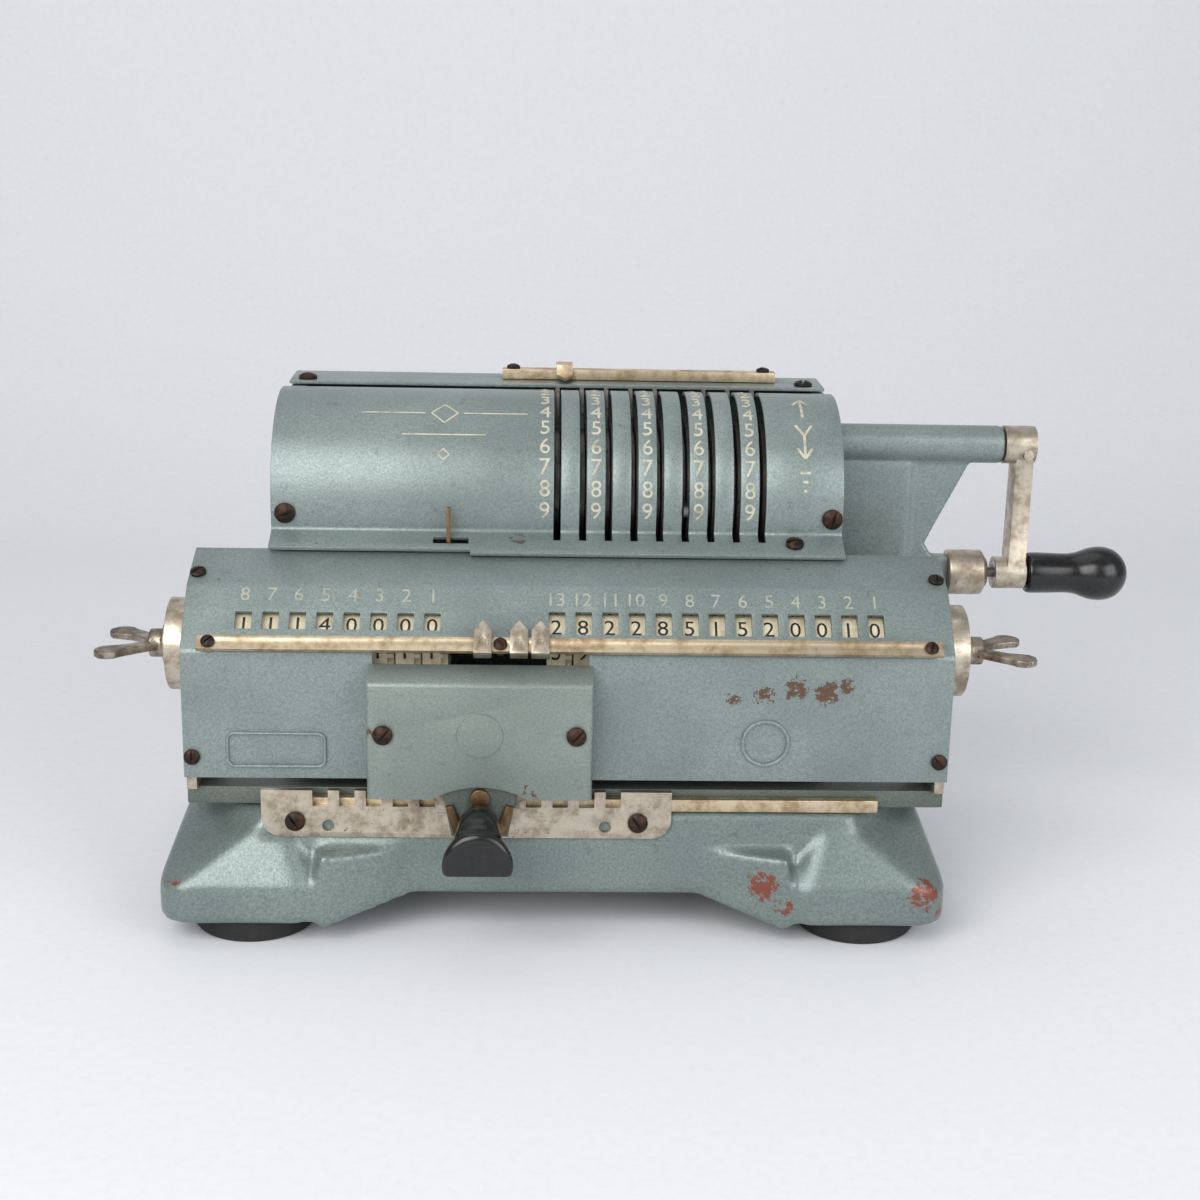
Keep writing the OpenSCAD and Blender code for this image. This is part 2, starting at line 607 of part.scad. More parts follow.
module number_wheel(x) color(cream) at_drum() translate([x, register_y, register_z]) difference() {
    union() {
        x_rod(wheel_off, wheel_off + wheel_w, wheel_r);
        x_gear(gear_off, gear_w, 20, wheel_r - 2, wheel_r - 0.3);
    }
    x_rod(-4, 6, register_r + shaft_gap);
}
module counter_wheels() for (i = [0:counter_places - 1]) number_wheel(counter_x0 + pitch * i);
module result_wheel(i) number_wheel(result_x0 + pitch * (i - 1));

base_casting();
rubber_feet();
side_frame_left();
side_frame_right();
drum_cover();
rear_cover();
frame_screws();
top_marker_rail();
top_marker();
step_rack();
guide_rail();
crank_rest_bush();
transfer_shaft();
transfer_gears();
rotor_shaft();
rotor_gear();
pinwheels();
crank_shaft();
crank_gear();
crank_arm();
handle_spindle();
handle_grip();
slot_lever();
carriage_cover();
carriage_end_plates();
carriage_base_plate();
register_shaft();
marker_rail();
lever_cover();
carriage_screws();
decimal_marker(0);  // decimal_marker_1
decimal_marker(1);  // decimal_marker_2
decimal_marker(2);  // decimal_marker_3
shift_lever();
shift_knob();
result_clear_nut();
counter_clear_nut();
counter_wheels();
for (i = [1:slots])
    setting_lever(i - 1);
for (i = [1:result_places])
    result_wheel(i);
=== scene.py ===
"""Looks of a hand-cranked pinwheel calculating machine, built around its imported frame.

Sizes are in millimetres from the machine's own centre: X along the drum, with its origin on
the middle setting slot and on the drum axis, +Y to the rear and +Z up. at() turns them into
the frame's metres.
"""

import logging
import math
from collections.abc import Callable, Sequence
from dataclasses import dataclass
from enum import Enum

import bmesh
import bpy
from mathutils import Matrix, Vector


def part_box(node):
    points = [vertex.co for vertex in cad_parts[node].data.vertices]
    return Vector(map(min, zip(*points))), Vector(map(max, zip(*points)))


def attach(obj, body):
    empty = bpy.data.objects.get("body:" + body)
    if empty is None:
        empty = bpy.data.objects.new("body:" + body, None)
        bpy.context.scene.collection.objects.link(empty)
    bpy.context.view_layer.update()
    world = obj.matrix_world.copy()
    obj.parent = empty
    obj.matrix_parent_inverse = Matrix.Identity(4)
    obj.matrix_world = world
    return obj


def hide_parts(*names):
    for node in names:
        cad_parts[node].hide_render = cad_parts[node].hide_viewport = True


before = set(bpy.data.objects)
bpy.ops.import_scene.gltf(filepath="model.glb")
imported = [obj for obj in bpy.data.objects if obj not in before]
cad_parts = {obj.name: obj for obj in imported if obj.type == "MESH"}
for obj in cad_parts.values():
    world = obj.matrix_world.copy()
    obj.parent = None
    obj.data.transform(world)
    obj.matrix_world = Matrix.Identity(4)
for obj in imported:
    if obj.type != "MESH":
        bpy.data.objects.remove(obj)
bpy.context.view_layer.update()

LOG = logging.getLogger("calculator")
MM = 0.001
Line = Sequence[tuple[float, float]]


def machine_centre() -> Vector:
    """Return the point on the drum axis at the middle setting slot, in metres."""
    slot_low, slot_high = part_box("setting_lever_5")
    shaft_low, shaft_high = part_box("rotor_shaft")
    middle = (shaft_low + shaft_high) / 2
    return Vector(((slot_low.x + slot_high.x) / 2, middle.y, middle.z))


CENTRE = machine_centre()


def at(x: float, y: float, z: float) -> Vector:
    """Turn millimetres from the machine's centre into a place in the frame.

    Args:
        x: Millimetres to the right of the middle slot.
        y: Millimetres behind the drum axis.
        z: Millimetres above the drum axis.

    Returns:
        The place in metres.
    """
    return CENTRE + Vector((x, y, z)) * MM


# ---------------------------------------------------------------- modelling by hand


def release() -> None:
    """Leave edit mode and deselect everything."""
    if bpy.context.object and bpy.context.object.mode != "OBJECT":
        bpy.ops.object.mode_set(mode="OBJECT")
    bpy.ops.object.select_all(action="DESELECT")


def hold(*pieces: bpy.types.Object) -> bpy.types.Object:
    """Select only these pieces and make the first one active.

    Args:
        pieces: The pieces to select.

    Returns:
        The first piece.
    """
    release()
    for piece in pieces:
        piece.select_set(True)
    bpy.context.view_layer.objects.active = pieces[0]
    return pieces[0]


def edit(piece: bpy.types.Object) -> None:
    """Enter edit mode on one piece with everything in it selected."""
    hold(piece)
    bpy.ops.object.mode_set(mode="EDIT")
    bpy.ops.mesh.select_all(action="SELECT")


def pick(piece: bpy.types.Object, kind: str, test: Callable[..., bool]) -> None:
    """Select by place, in edit mode.

    Args:
        piece: The piece that is being edited.
        kind: "verts", "edges" or "faces".
        test: Says whether one such element is selected.
    """
    modes = {"verts": "VERT", "edges": "EDGE", "faces": "FACE"}
    bpy.ops.mesh.select_mode(type=modes[kind])
    bpy.ops.mesh.select_all(action="DESELECT")
    mesh = bmesh.from_edit_mesh(piece.data)
    for element in getattr(mesh, kind):
        element.select_set(test(element))
    mesh.select_flush_mode()
    bmesh.update_edit_mesh(piece.data)


def settle(piece: bpy.types.Object) -> bpy.types.Object:
    """Bring a piece's object to the origin, unturned, with its place in its mesh.

    Args:
        piece: The piece to settle.

    Returns:
        The same piece.
    """
    hold(piece)
    bpy.ops.object.transform_apply(location=True, rotation=True, scale=True)
    return piece


def modify(piece: bpy.types.Object, kind: str, **settings: object) -> None:
    """Add a modifier with its settings and apply it.

    Args:
        piece: The piece to change.
        kind: Blender's name for the modifier's type.
        settings: The modifier's settings.
    """
    hold(piece)
    bpy.ops.object.modifier_add(type=kind)
    modifier = piece.modifiers[-1]
    for key, value in settings.items():
        setattr(modifier, key, value)
    bpy.ops.object.modifier_apply(modifier=modifier.name)


def soften(piece: bpy.types.Object, width: float, segments: int = 2, angle: float = 40) -> None:
    """Break the sharp edges of a piece, as a file or a tumbler does.

    Args:
        piece: The piece to change.
        width: Width of the broken edge in millimetres.
        segments: Faces across it.
        angle: Edges sharper than this many degrees are broken.
    """
    modify(
        piece,
        "BEVEL",
        width=width * MM,
        segments=segments,
        limit_method="ANGLE",
        angle_limit=math.radians(angle),
    )
    smooth(piece)


def smooth(piece: bpy.types.Object, angle: float = 32) -> None:
    """Shade a piece smooth, apart from edges sharper than an angle in degrees."""
    hold(piece)
    bpy.ops.object.shade_smooth_by_angle(angle=math.radians(angle))


def slice_at(piece: bpy.types.Object, point: Vector, normal: Sequence[float]) -> None:
    """Divide a piece's faces along a plane, in edit mode.

    Args:
        piece: The piece that is being edited.
        point: A point on the plane, in metres.
        normal: The plane's normal.
    """
    bpy.ops.mesh.select_all(action="SELECT")
    bpy.ops.mesh.bisect(plane_co=point, plane_no=normal)


def strip(x0: float, x1: float, line: Line) -> bpy.types.Object:
    """Bend a sheet: an edge along X is extruded from point to point of a line.

    Args:
        x0: Left end in millimetres.
        x1: Right end in millimetres.
        line: Points (Y, Z) in millimetres.

    Returns:
        The sheet, without thickness, in object mode.
    """
    release()
    width = x1 - x0
    start = at((x0 + x1) / 2, line[0][0] + width / 2, line[0][1])
    bpy.ops.mesh.primitive_plane_add(size=width * MM, location=start)
    piece = settle(bpy.context.object)
    edit(piece)
    pick(piece, "verts", lambda v: v.co.y > start.y)
    bpy.ops.mesh.delete(type="VERT")
    bpy.ops.mesh.select_mode(type="EDGE")
    bpy.ops.mesh.select_all(action="SELECT")
    for before, after in zip(line, line[1:]):
        step = Vector((0, after[0] - before[0], after[1] - before[1])) * MM
        bpy.ops.mesh.extrude_edges_move(TRANSFORM_OT_translate={"value": step})
    bpy.ops.object.mode_set(mode="OBJECT")
    return piece


def round_bend(piece: bpy.types.Object, point: tuple[float, float], width: float) -> None:
    """Round the bend of a sheet that runs along X through a point (Y, Z).

    Args:
        piece: The sheet, in object mode.
        point: The bend in millimetres.
        width: How far the bend reaches to each side, in millimetres.
    """
    place = at(0, *point)
    edit(piece)

    def near(vertex: bmesh.types.BMVert) -> bool:
        """Say whether a vertex lies on the bend."""
        return abs(vertex.co.y - place.y) < 1e-5 and abs(vertex.co.z - place.z) < 1e-5

    pick(piece, "edges", lambda e: all(near(v) for v in e.verts))
    bpy.ops.mesh.bevel(offset=width * MM, segments=5, affect="EDGES")
    bpy.ops.object.mode_set(mode="OBJECT")


def thicken(piece: bpy.types.Object, inside: tuple[float, float], thickness: float) -> None:
    """Give a bent sheet its thickness, towards its inner side.

    Args:
        piece: The sheet, in object mode.
        inside: A point (Y, Z) on its inner side, in millimetres.
        thickness: In millimetres.
    """
    inner = at(0, *inside)
    edit(piece)
    bpy.ops.mesh.normals_make_consistent(inside=False)
    bpy.ops.object.mode_set(mode="OBJECT")
    faces = piece.data.polygons
    outward = sum(
        (f.normal.y * (f.center.y - inner.y) + f.normal.z * (f.center.z - inner.z)) * f.area
        for f in faces
    )
    if outward < 0:
        edit(piece)
        bpy.ops.mesh.flip_normals()
        bpy.ops.object.mode_set(mode="OBJECT")
    modify(piece, "SOLIDIFY", thickness=thickness * MM, offset=-1, use_even_offset=True)


def copy_of(node: str) -> bpy.types.Object:
    """Copy a CAD node's mesh into a new object and merge its loose corners.

    Args:
        node: The CAD node.

    Returns:
        The copy, in object mode.
    """
    piece = bpy.data.objects.new(node + "_copy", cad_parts[node].data.copy())
    bpy.context.scene.collection.objects.link(piece)
    edit(piece)
    bpy.ops.mesh.remove_doubles(threshold=1e-5)
    bpy.ops.mesh.customdata_custom_splitnormals_clear()
    bpy.ops.object.mode_set(mode="OBJECT")
    return piece


def machined(node: str, edge: float, segments: int = 2) -> bpy.types.Object:
    """Copy a CAD node and break its edges, as on a turned, milled or pressed part.

    Args:
        node: The CAD node.
        edge: Width of the broken edge in millimetres.
        segments: Faces across it.

    Returns:
        The finished copy.
    """
    piece = copy_of(node)
    edit(piece)
    bpy.ops.mesh.dissolve_limited(angle_limit=math.radians(0.4))
    bpy.ops.object.mode_set(mode="OBJECT")
    soften(piece, edge, segments)
    return piece


def cast(node: str, grain: float, rounds: int,
         fillets: Sequence[bpy.types.Object] = ()) -> bpy.types.Object:
    """Copy a CAD node and round it inside and out, as a sand casting is.

    Args:
        node: The CAD node.
        grain: Size of the new mesh's faces in millimetres.
        rounds: How many times it is smoothed.
        fillets: Solids that are cast in one with it.

    Returns:
        The finished copy.
    """
    piece = merged([copy_of(node), *fillets])
    modify(piece, "REMESH", mode="VOXEL", voxel_size=grain * MM, use_smooth_shade=True)
    modify(piece, "SMOOTH", factor=0.5, iterations=rounds)
    return piece


def turned(stations: Line, y: float, z: float, segments: int = 24) -> bpy.types.Object:
    """Turn a piece about an axis along X: a circle is extruded and scaled along it.

    Args:
        stations: (X, radius) in millimetres, from one end to the other.
        y: The axis' place in millimetres.
        z: The axis' place in millimetres.
        segments: Sides of the circle.

    Returns:
        The closed piece, in object mode.
    """
    release()
    x, radius = stations[0]
    bpy.ops.mesh.primitive_circle_add(
        vertices=segments,
        radius=radius * MM,
        fill_type="NGON",
        location=at(x, y, z),
        rotation=(0, math.pi / 2, 0),
    )
    piece = settle(bpy.context.object)
    edit(piece)
    for (x_old, r_old), (x_new, r_new) in zip(stations, stations[1:]):
        bpy.ops.mesh.extrude_region_move(
            TRANSFORM_OT_translate={"value": ((x_new - x_old) * MM, 0, 0)}
        )
        factor = r_new / r_old
        bpy.ops.transform.resize(value=(1, factor, factor), center_override=at(x_new, y, z))
    bpy.ops.mesh.select_all(action="SELECT")
    bpy.ops.mesh.normals_make_consistent(inside=False)
    bpy.ops.object.mode_set(mode="OBJECT")
    return piece


# ---------------------------------------------------------------- flat marks


def glyph(character: str, height: float, relief: float) -> bpy.types.Object:
    """Make one printed or raised digit, lying flat about the origin.

    Args:
        character: The digit.
        height: Its height in millimetres.
        relief: How far it stands up, in millimetres.

    Returns:
        The digit as a mesh, facing +Z.
    """
    release()
    bpy.ops.object.text_add()
    text = bpy.context.object
    text.data.body = character
    text.data.resolution_u = 3
    text.data.extrude = 0.02
    bpy.ops.object.convert(target="MESH")
    piece = bpy.context.object
    corners = [Vector(c) for c in piece.bound_box]
    low = Vector(min(c[i] for c in corners) for i in range(3))
    high = Vector(max(c[i] for c in corners) for i in range(3))
    scale = height * MM / (high.y - low.y)
    piece.data.transform(Matrix.Translation(-(low + high) / 2))
    piece.data.transform(Matrix.Diagonal((scale, scale, relief * MM / 0.04, 1)))
    edit(piece)
    bpy.ops.mesh.remove_doubles(threshold=1e-6)
    for k in range(-3, 4):
        slice_at(piece, Vector((0, k * height * MM / 7.5, 0)), (0, 1, 0))
    bpy.ops.object.mode_set(mode="OBJECT")
    return piece


def stroke(start: tuple[float, float], end: tuple[float, float], width: float,
           relief: float) -> bpy.types.Object:
    """Make one straight painted stroke, lying flat about the origin.

    Args:
        start: Its first end (X, Y) in millimetres.
        end: Its other end.
        width: Its width in millimetres.
        relief: How far it stands up, in millimetres.

    Returns:
        The stroke as a mesh, facing +Z.
    """
    release()
    run = Vector(end) - Vector(start)
    middle = (Vector(start) + Vector(end)) / 2 * MM
    bpy.ops.mesh.primitive_cube_add(
        size=1,
        location=(middle.x, middle.y, 0),
        rotation=(0, 0, math.atan2(run.y, run.x)),
        scale=(run.length * MM, width * MM, relief * MM),
    )
    piece = settle(bpy.context.object)
    edit(piece)
    for k in range(-8, 9):
        slice_at(piece, Vector((0, k * 0.8 * MM, 0)), (0, 1, 0))
    bpy.ops.object.mode_set(mode="OBJECT")
    return piece


def merged(pieces: Sequence[bpy.types.Object]) -> bpy.types.Object:
    """Join pieces into one object.

    Args:
        pieces: The pieces to join.

    Returns:
        The joined piece.
    """
    hold(*pieces)
    if len(pieces) > 1:
        bpy.ops.object.join()
    return bpy.context.object


def twin(piece: bpy.types.Object) -> bpy.types.Object:
    """Copy a piece with its own mesh.

    Args:
        piece: The piece to copy.

    Returns:
        The copy.
    """
    other = bpy.data.objects.new(piece.name, piece.data.copy())
    bpy.context.scene.collection.objects.link(other)
    return other


def wrap(piece: bpy.types.Object, x: float, axis: tuple[float, float], radius: float,
         angle: float) -> bpy.types.Object:
    """Lay a flat mark round a cylinder along X.

    Args:
        piece: The flat mark.
        x: Where its middle goes, in millimetres.
        axis: The cylinder's axis (Y, Z) in millimetres.
        radius: The cylinder's radius in millimetres.
        angle: Degrees above the front where its middle goes.

    Returns:
        The same piece.
    """
    hub = at(x, *axis)
    for vertex in piece.data.vertices:
        flat = vertex.co.copy()
        turn = math.radians(angle) + flat.y / (radius * MM)
        reach = radius * MM + flat.z
        vertex.co = hub + Vector((flat.x, -reach * math.cos(turn), reach * math.sin(turn)))
    return piece


def lay(piece: bpy.types.Object, x: float, y: float, z: float, tilt: float) -> bpy.types.Object:
    """Lay a flat mark on a face that leans back.

    Args:
        piece: The flat mark.
        x: Where its middle goes, in millimetres.
        y: Where its middle goes, in millimetres.
        z: Where its middle goes, in millimetres.
        tilt: Degrees that the face's normal leans from straight up to the front.

    Returns:
        The same piece.
    """
    turn = Matrix.Rotation(math.radians(tilt), 4, "X")
    piece.data.transform(Matrix.Translation(at(x, y, z)) @ turn)
    return piece


# ---------------------------------------------------------------- finishes


def linear(code: str) -> tuple[float, float, float, float]:
    """Turn an sRGB hex colour into a linear one.

    Args:
        code: Six hex digits after a hash.

    Returns:
        Red, green, blue and an alpha of 1.
    """
    parts = [int(code[i : i + 2], 16) / 255 for i in (1, 3, 5)]
    red, green, blue = (
        p / 12.92 if p <= 0.04045 else ((p + 0.055) / 1.055) ** 2.4 for p in parts
    )
    return red, green, blue, 1.0


def per_mm(size: float) -> float:
    """Return the pattern scale, per metre, of a feature this many millimetres wide."""
    return 1 / (size * MM)


Tree = bpy.types.NodeTree
Socket = bpy.types.NodeSocket


def add(tree: Tree, kind: str, inputs: dict[object, object] | None = None,
        **settings: object) -> bpy.types.Node:
    """Add a node with its settings, values and links.

    Args:
        tree: The node tree.
        kind: Blender's name for the node's type.
        inputs: Input name or number to a value, or to a socket to link from.
        settings: The node's own settings.

    Returns:
        The node.
    """
    made = tree.nodes.new(kind)
    for key, value in settings.items():
        setattr(made, key, value)
    for key, value in (inputs or {}).items():
        if isinstance(value, bpy.types.NodeSocket):
            tree.links.new(value, made.inputs[key])
        else:
            made.inputs[key].default_value = value
    return made


class Finish:
    """A surface: subclasses say what it is made of and draw it with nodes."""

    name: str

    def build(self) -> bpy.types.Material:
        """Build the material.

        Returns:
            The material, with its pattern in the frame's own metres.
        """
        material = bpy.data.materials.new(self.name)
        material.use_nodes = True
        tree = material.node_tree
        shader = tree.nodes["Principled BSDF"]
        place = add(tree, "ShaderNodeTexCoord").outputs["Object"]
        self.draw(tree, shader, place)
        return material

    def draw(self, tree: Tree, shader: bpy.types.Node, place: Socket) -> None:
        """Draw the surface's colour, gloss and relief.

        Args:
            tree: The material's node tree.
            shader: Its principled shader.
            place: Object coordinates in metres.
        """
        raise NotImplementedError

    def patches(self, tree: Tree, place: Socket, size: float, edge: tuple[float, float],
                most: float = 1.0, detail: float = 3.0, rough: float = 0.5) -> Socket:
        """Scatter soft-edged patches over the surface.

        Args:
            tree: The material's node tree.
            place: The coordinates that the pattern reads.
            size: Width of the largest patches in millimetres.
            edge: Noise values where a patch starts and where it is full.
            most: The share inside a patch.
            detail: Octaves of finer noise.
            rough: Weight of the finer noise.

        Returns:
            The share, from 0 outside the patches.
        """
        inputs = {"Vector": place, "Scale": per_mm(size), "Detail": detail, "Roughness": rough}
        cloud = add(tree, "ShaderNodeTexNoise", inputs).outputs["Fac"]
        return add(tree, "ShaderNodeMapRange",
                   {"Value": cloud, "From Min": edge[0], "From Max": edge[1], "To Max": most},
                   interpolation_type="SMOOTHSTEP").outputs[0]

    def roughen(self, tree: Tree, shader: bpy.types.Node, place: Socket, size: float,
                depth: float) -> None:
        """Roughen the surface finely.

        Args:
            tree: The material's node tree.
            shader: Its principled shader.
            place: The coordinates that the pattern reads.
            size: Width of the grain in millimetres.
            depth: Its depth in millimetres.
        """
        height = add(tree, "ShaderNodeTexNoise",
                     {"Vector": place, "Scale": per_mm(size), "Detail": 3.0}).outputs["Fac"]
        bump = add(tree, "ShaderNodeBump",
                   {"Height": height, "Distance": depth * MM, "Strength": 0.4}).outputs[0]
        tree.links.new(bump, shader.inputs["Normal"])


@dataclass(frozen=True)
class Wear:
    """A worn patch: its place in millimetres, its radius, and how bare it is from 0 to 1."""

    x: float
    y: float
    z: float
    radius: float
    bare: float = 0.5


@dataclass(frozen=True)
class HammeredEnamel(Finish):
    """Hammertone stoving enamel: aluminium flake that draws up into small craters as it dries.

    The craters give a mottled, half-metallic shine, and chips show the brown primer.
    """

    name: str
    body: str
    ridge: str
    shade: str
    crater: float
    gloss: float
    worn: tuple[Wear, ...] = ()
    primer: str = "#5c4534"

    def draw(self, tree: Tree, shader: bpy.types.Node, place: Socket) -> None:
        """Draw the craters, the slow drift of the colour, the grime and the chips."""
        warp = add(tree, "ShaderNodeTexNoise",
                   {"Vector": place, "Scale": per_mm(2.2), "Detail": 1.0}).outputs["Color"]
        pushed = add(tree, "ShaderNodeVectorMath",
                     {0: warp, 1: (0.4 * MM,) * 3, 2: place}, operation="MULTIPLY_ADD").outputs[0]
        cells = add(tree, "ShaderNodeTexVoronoi",
                    {"Vector": pushed, "Scale": per_mm(self.crater), "Smoothness": 0.4},
                    feature="SMOOTH_F1").outputs["Distance"]
        raised = add(tree, "ShaderNodeMapRange",
                     {"Value": cells, "From Min": 0.05, "From Max": 0.65},
                     interpolation_type="SMOOTHSTEP").outputs[0]
        fine = add(tree, "ShaderNodeTexNoise",
                   {"Vector": place, "Scale": per_mm(0.45), "Detail": 3.0}).outputs["Fac"]
        mottle = self.patches(tree, pushed, self.crater * 1.5, (0.33, 0.67), 1.0, 4.0, 0.7)
        colour = add(tree, "ShaderNodeMix",
                     {0: mottle, 6: linear(self.body), 7: linear(self.ridge)},
                     data_type="RGBA").outputs[2]
        drift = self.patches(tree, place, 34, (0.3, 0.7), 0.35)
        colour = add(tree, "ShaderNodeMix", {0: drift, 6: colour, 7: linear(self.shade)},
                     data_type="RGBA").outputs[2]
        grime = self.patches(tree, place, 4.5, (0.57, 0.74), 0.45, 6.0, 0.75)
        colour = add(tree, "ShaderNodeMix", {0: grime, 6: colour, 7: linear("#474a3f")},
                     data_type="RGBA").outputs[2]
        flakes = add(tree, "ShaderNodeTexNoise",
                     {"Vector": place, "Scale": per_mm(2.6), "Detail": 8.0,
                      "Roughness": 0.75}).outputs["Fac"]
        for patch in self.worn:
            gap = add(tree, "ShaderNodeVectorMath",
                      {0: place, 1: at(patch.x, patch.y, patch.z)},
                      operation="DISTANCE").outputs["Value"]
            near = add(tree, "ShaderNodeMapRange",
                       {"Value": gap, "From Min": patch.radius * MM,
                        "From Max": patch.radius * 0.35 * MM},
                       interpolation_type="SMOOTHSTEP").outputs[0]
            amount = add(tree, "ShaderNodeMath",
                         {0: near, 1: 0.2 * patch.bare + 0.04, 2: flakes},
                         operation="MULTIPLY_ADD").outputs[0]
            bare = add(tree, "ShaderNodeMapRange",
                       {"Value": amount, "From Min": 0.66, "From Max": 0.69},
                       interpolation_type="SMOOTHSTEP").outputs[0]
            colour = add(tree, "ShaderNodeMix", {0: bare, 6: colour, 7: linear(self.primer)},
                         data_type="RGBA").outputs[2]
        tree.links.new(colour, shader.inputs["Base Color"])
        gloss = add(tree, "ShaderNodeMapRange",
                    {"Value": fine, "From Min": 0.2, "From Max": 0.8,
                     "To Min": self.gloss - 0.05, "To Max": self.gloss + 0.12}).outputs[0]
        tree.links.new(gloss, shader.inputs["Roughness"])
        craters = add(tree, "ShaderNodeBump",
                      {"Height": raised, "Distance": 0.06 * MM, "Strength": 0.5}).outputs[0]
        skin = add(tree, "ShaderNodeBump",
                   {"Height": fine, "Distance": 0.02 * MM, "Strength": 0.4,
                    "Normal": craters}).outputs[0]
        tree.links.new(skin, shader.inputs["Normal"])
        shader.inputs["Metallic"].default_value = 0.4
        shader.inputs["Coat Weight"].default_value = 0.25
        shader.inputs["Coat Roughness"].default_value = 0.28


@dataclass(frozen=True)
class WornPlate(Finish):
    """Plating over brushed metal: pale warm metal gone dull, with brown specks of rust."""

    name: str
    bright: str
    tarnish: str
    gloss: float
    spots: float

    def draw(self, tree: Tree, shader: bpy.types.Node, place: Socket) -> None:
        """Draw the brushing, the tarnish and the rust specks."""
        brushed = add(tree, "ShaderNodeMapping", {"Vector": place, "Scale": (0.08, 1, 1)})
        lines = add(tree, "ShaderNodeTexNoise",
                    {"Vector": brushed.outputs[0], "Scale": per_mm(0.35), "Detail": 3.0,
                     "Roughness": 0.6}).outputs["Fac"]
        cloud = self.patches(tree, place, 7, (0.38, 0.66), 1.0, 6.0, 0.7)
        colour = add(tree, "ShaderNodeMix",
                     {0: cloud, 6: linear(self.bright), 7: linear(self.tarnish)},
                     data_type="RGBA").outputs[2]
        speck_edge = (self.spots, self.spots + 0.06)
        rust = self.patches(tree, place, 1.1, speck_edge, 0.85, 5.0, 0.75)
        colour = add(tree, "ShaderNodeMix", {0: rust, 6: colour, 7: linear("#43301f")},
                     data_type="RGBA").outputs[2]
        tree.links.new(colour, shader.inputs["Base Color"])
        dull = add(tree, "ShaderNodeMapRange",
                   {"Value": cloud, "To Min": self.gloss, "To Max": self.gloss + 0.18}).outputs[0]
        tree.links.new(dull, shader.inputs["Roughness"])
        brushing = add(tree, "ShaderNodeBump",
                       {"Height": lines, "Distance": 0.02 * MM, "Strength": 0.35}).outputs[0]
        pits = add(tree, "ShaderNodeBump",
                   {"Height": rust, "Distance": 0.05 * MM, "Strength": 0.5,
                    "Normal": brushing}).outputs[0]
        tree.links.new(pits, shader.inputs["Normal"])
        shader.inputs["Metallic"].default_value = 0.9


@dataclass(frozen=True)
class DarkMetal(Finish):
    """Blued or oiled steel: dark, with a thin film of old oil and patches of brown rust."""

    name: str
    body: str
    rust: str
    amount: float
    gloss: float

    def draw(self, tree: Tree, shader: bpy.types.Node, place: Socket) -> None:
        """Draw the rust film over the steel and its fine grain."""
        film_edge = (0.62 - self.amount * 0.4, 0.72)
        film = self.patches(tree, place, 2.4, film_edge, 1.0, 5.0, 0.65)
        colour = add(tree, "ShaderNodeMix",
                     {0: film, 6: linear(self.body), 7: linear(self.rust)},
                     data_type="RGBA").outputs[2]
        tree.links.new(colour, shader.inputs["Base Color"])
        dull = add(tree, "ShaderNodeMapRange",
                   {"Value": film, "To Min": self.gloss, "To Max": self.gloss + 0.25}).outputs[0]
        tree.links.new(dull, shader.inputs["Roughness"])
        self.roughen(tree, shader, place, 0.4, 0.03)
        shader.inputs["Metallic"].default_value = 0.75


@dataclass(frozen=True)
class Moulded(Finish):
    """Pressed plastic, rubber, ink or paper: one body colour, handled and dusty, with its sheen."""

    name: str
    body: str
    worn: str
    gloss: float
    grain: float
    depth: float
    coat: float = 0.0

    def draw(self, tree: Tree, shader: bpy.types.Node, place: Socket) -> None:
        """Draw the handling marks, the dust and the fine relief."""
        marks = self.patches(tree, place, 3.5, (0.43, 0.7), 0.85, 6.0, 0.7)
        colour = add(tree, "ShaderNodeMix",
                     {0: marks, 6: linear(self.body), 7: linear(self.worn)},
                     data_type="RGBA").outputs[2]
        tree.links.new(colour, shader.inputs["Base Color"])
        dull = add(tree, "ShaderNodeMapRange",
                   {"Value": marks, "To Min": self.gloss, "To Max": self.gloss + 0.18}).outputs[0]
        tree.links.new(dull, shader.inputs["Roughness"])
        self.roughen(tree, shader, place, self.grain, self.depth)
        shader.inputs["Coat Weight"].default_value = self.coat
        shader.inputs["Coat Roughness"].default_value = 0.2


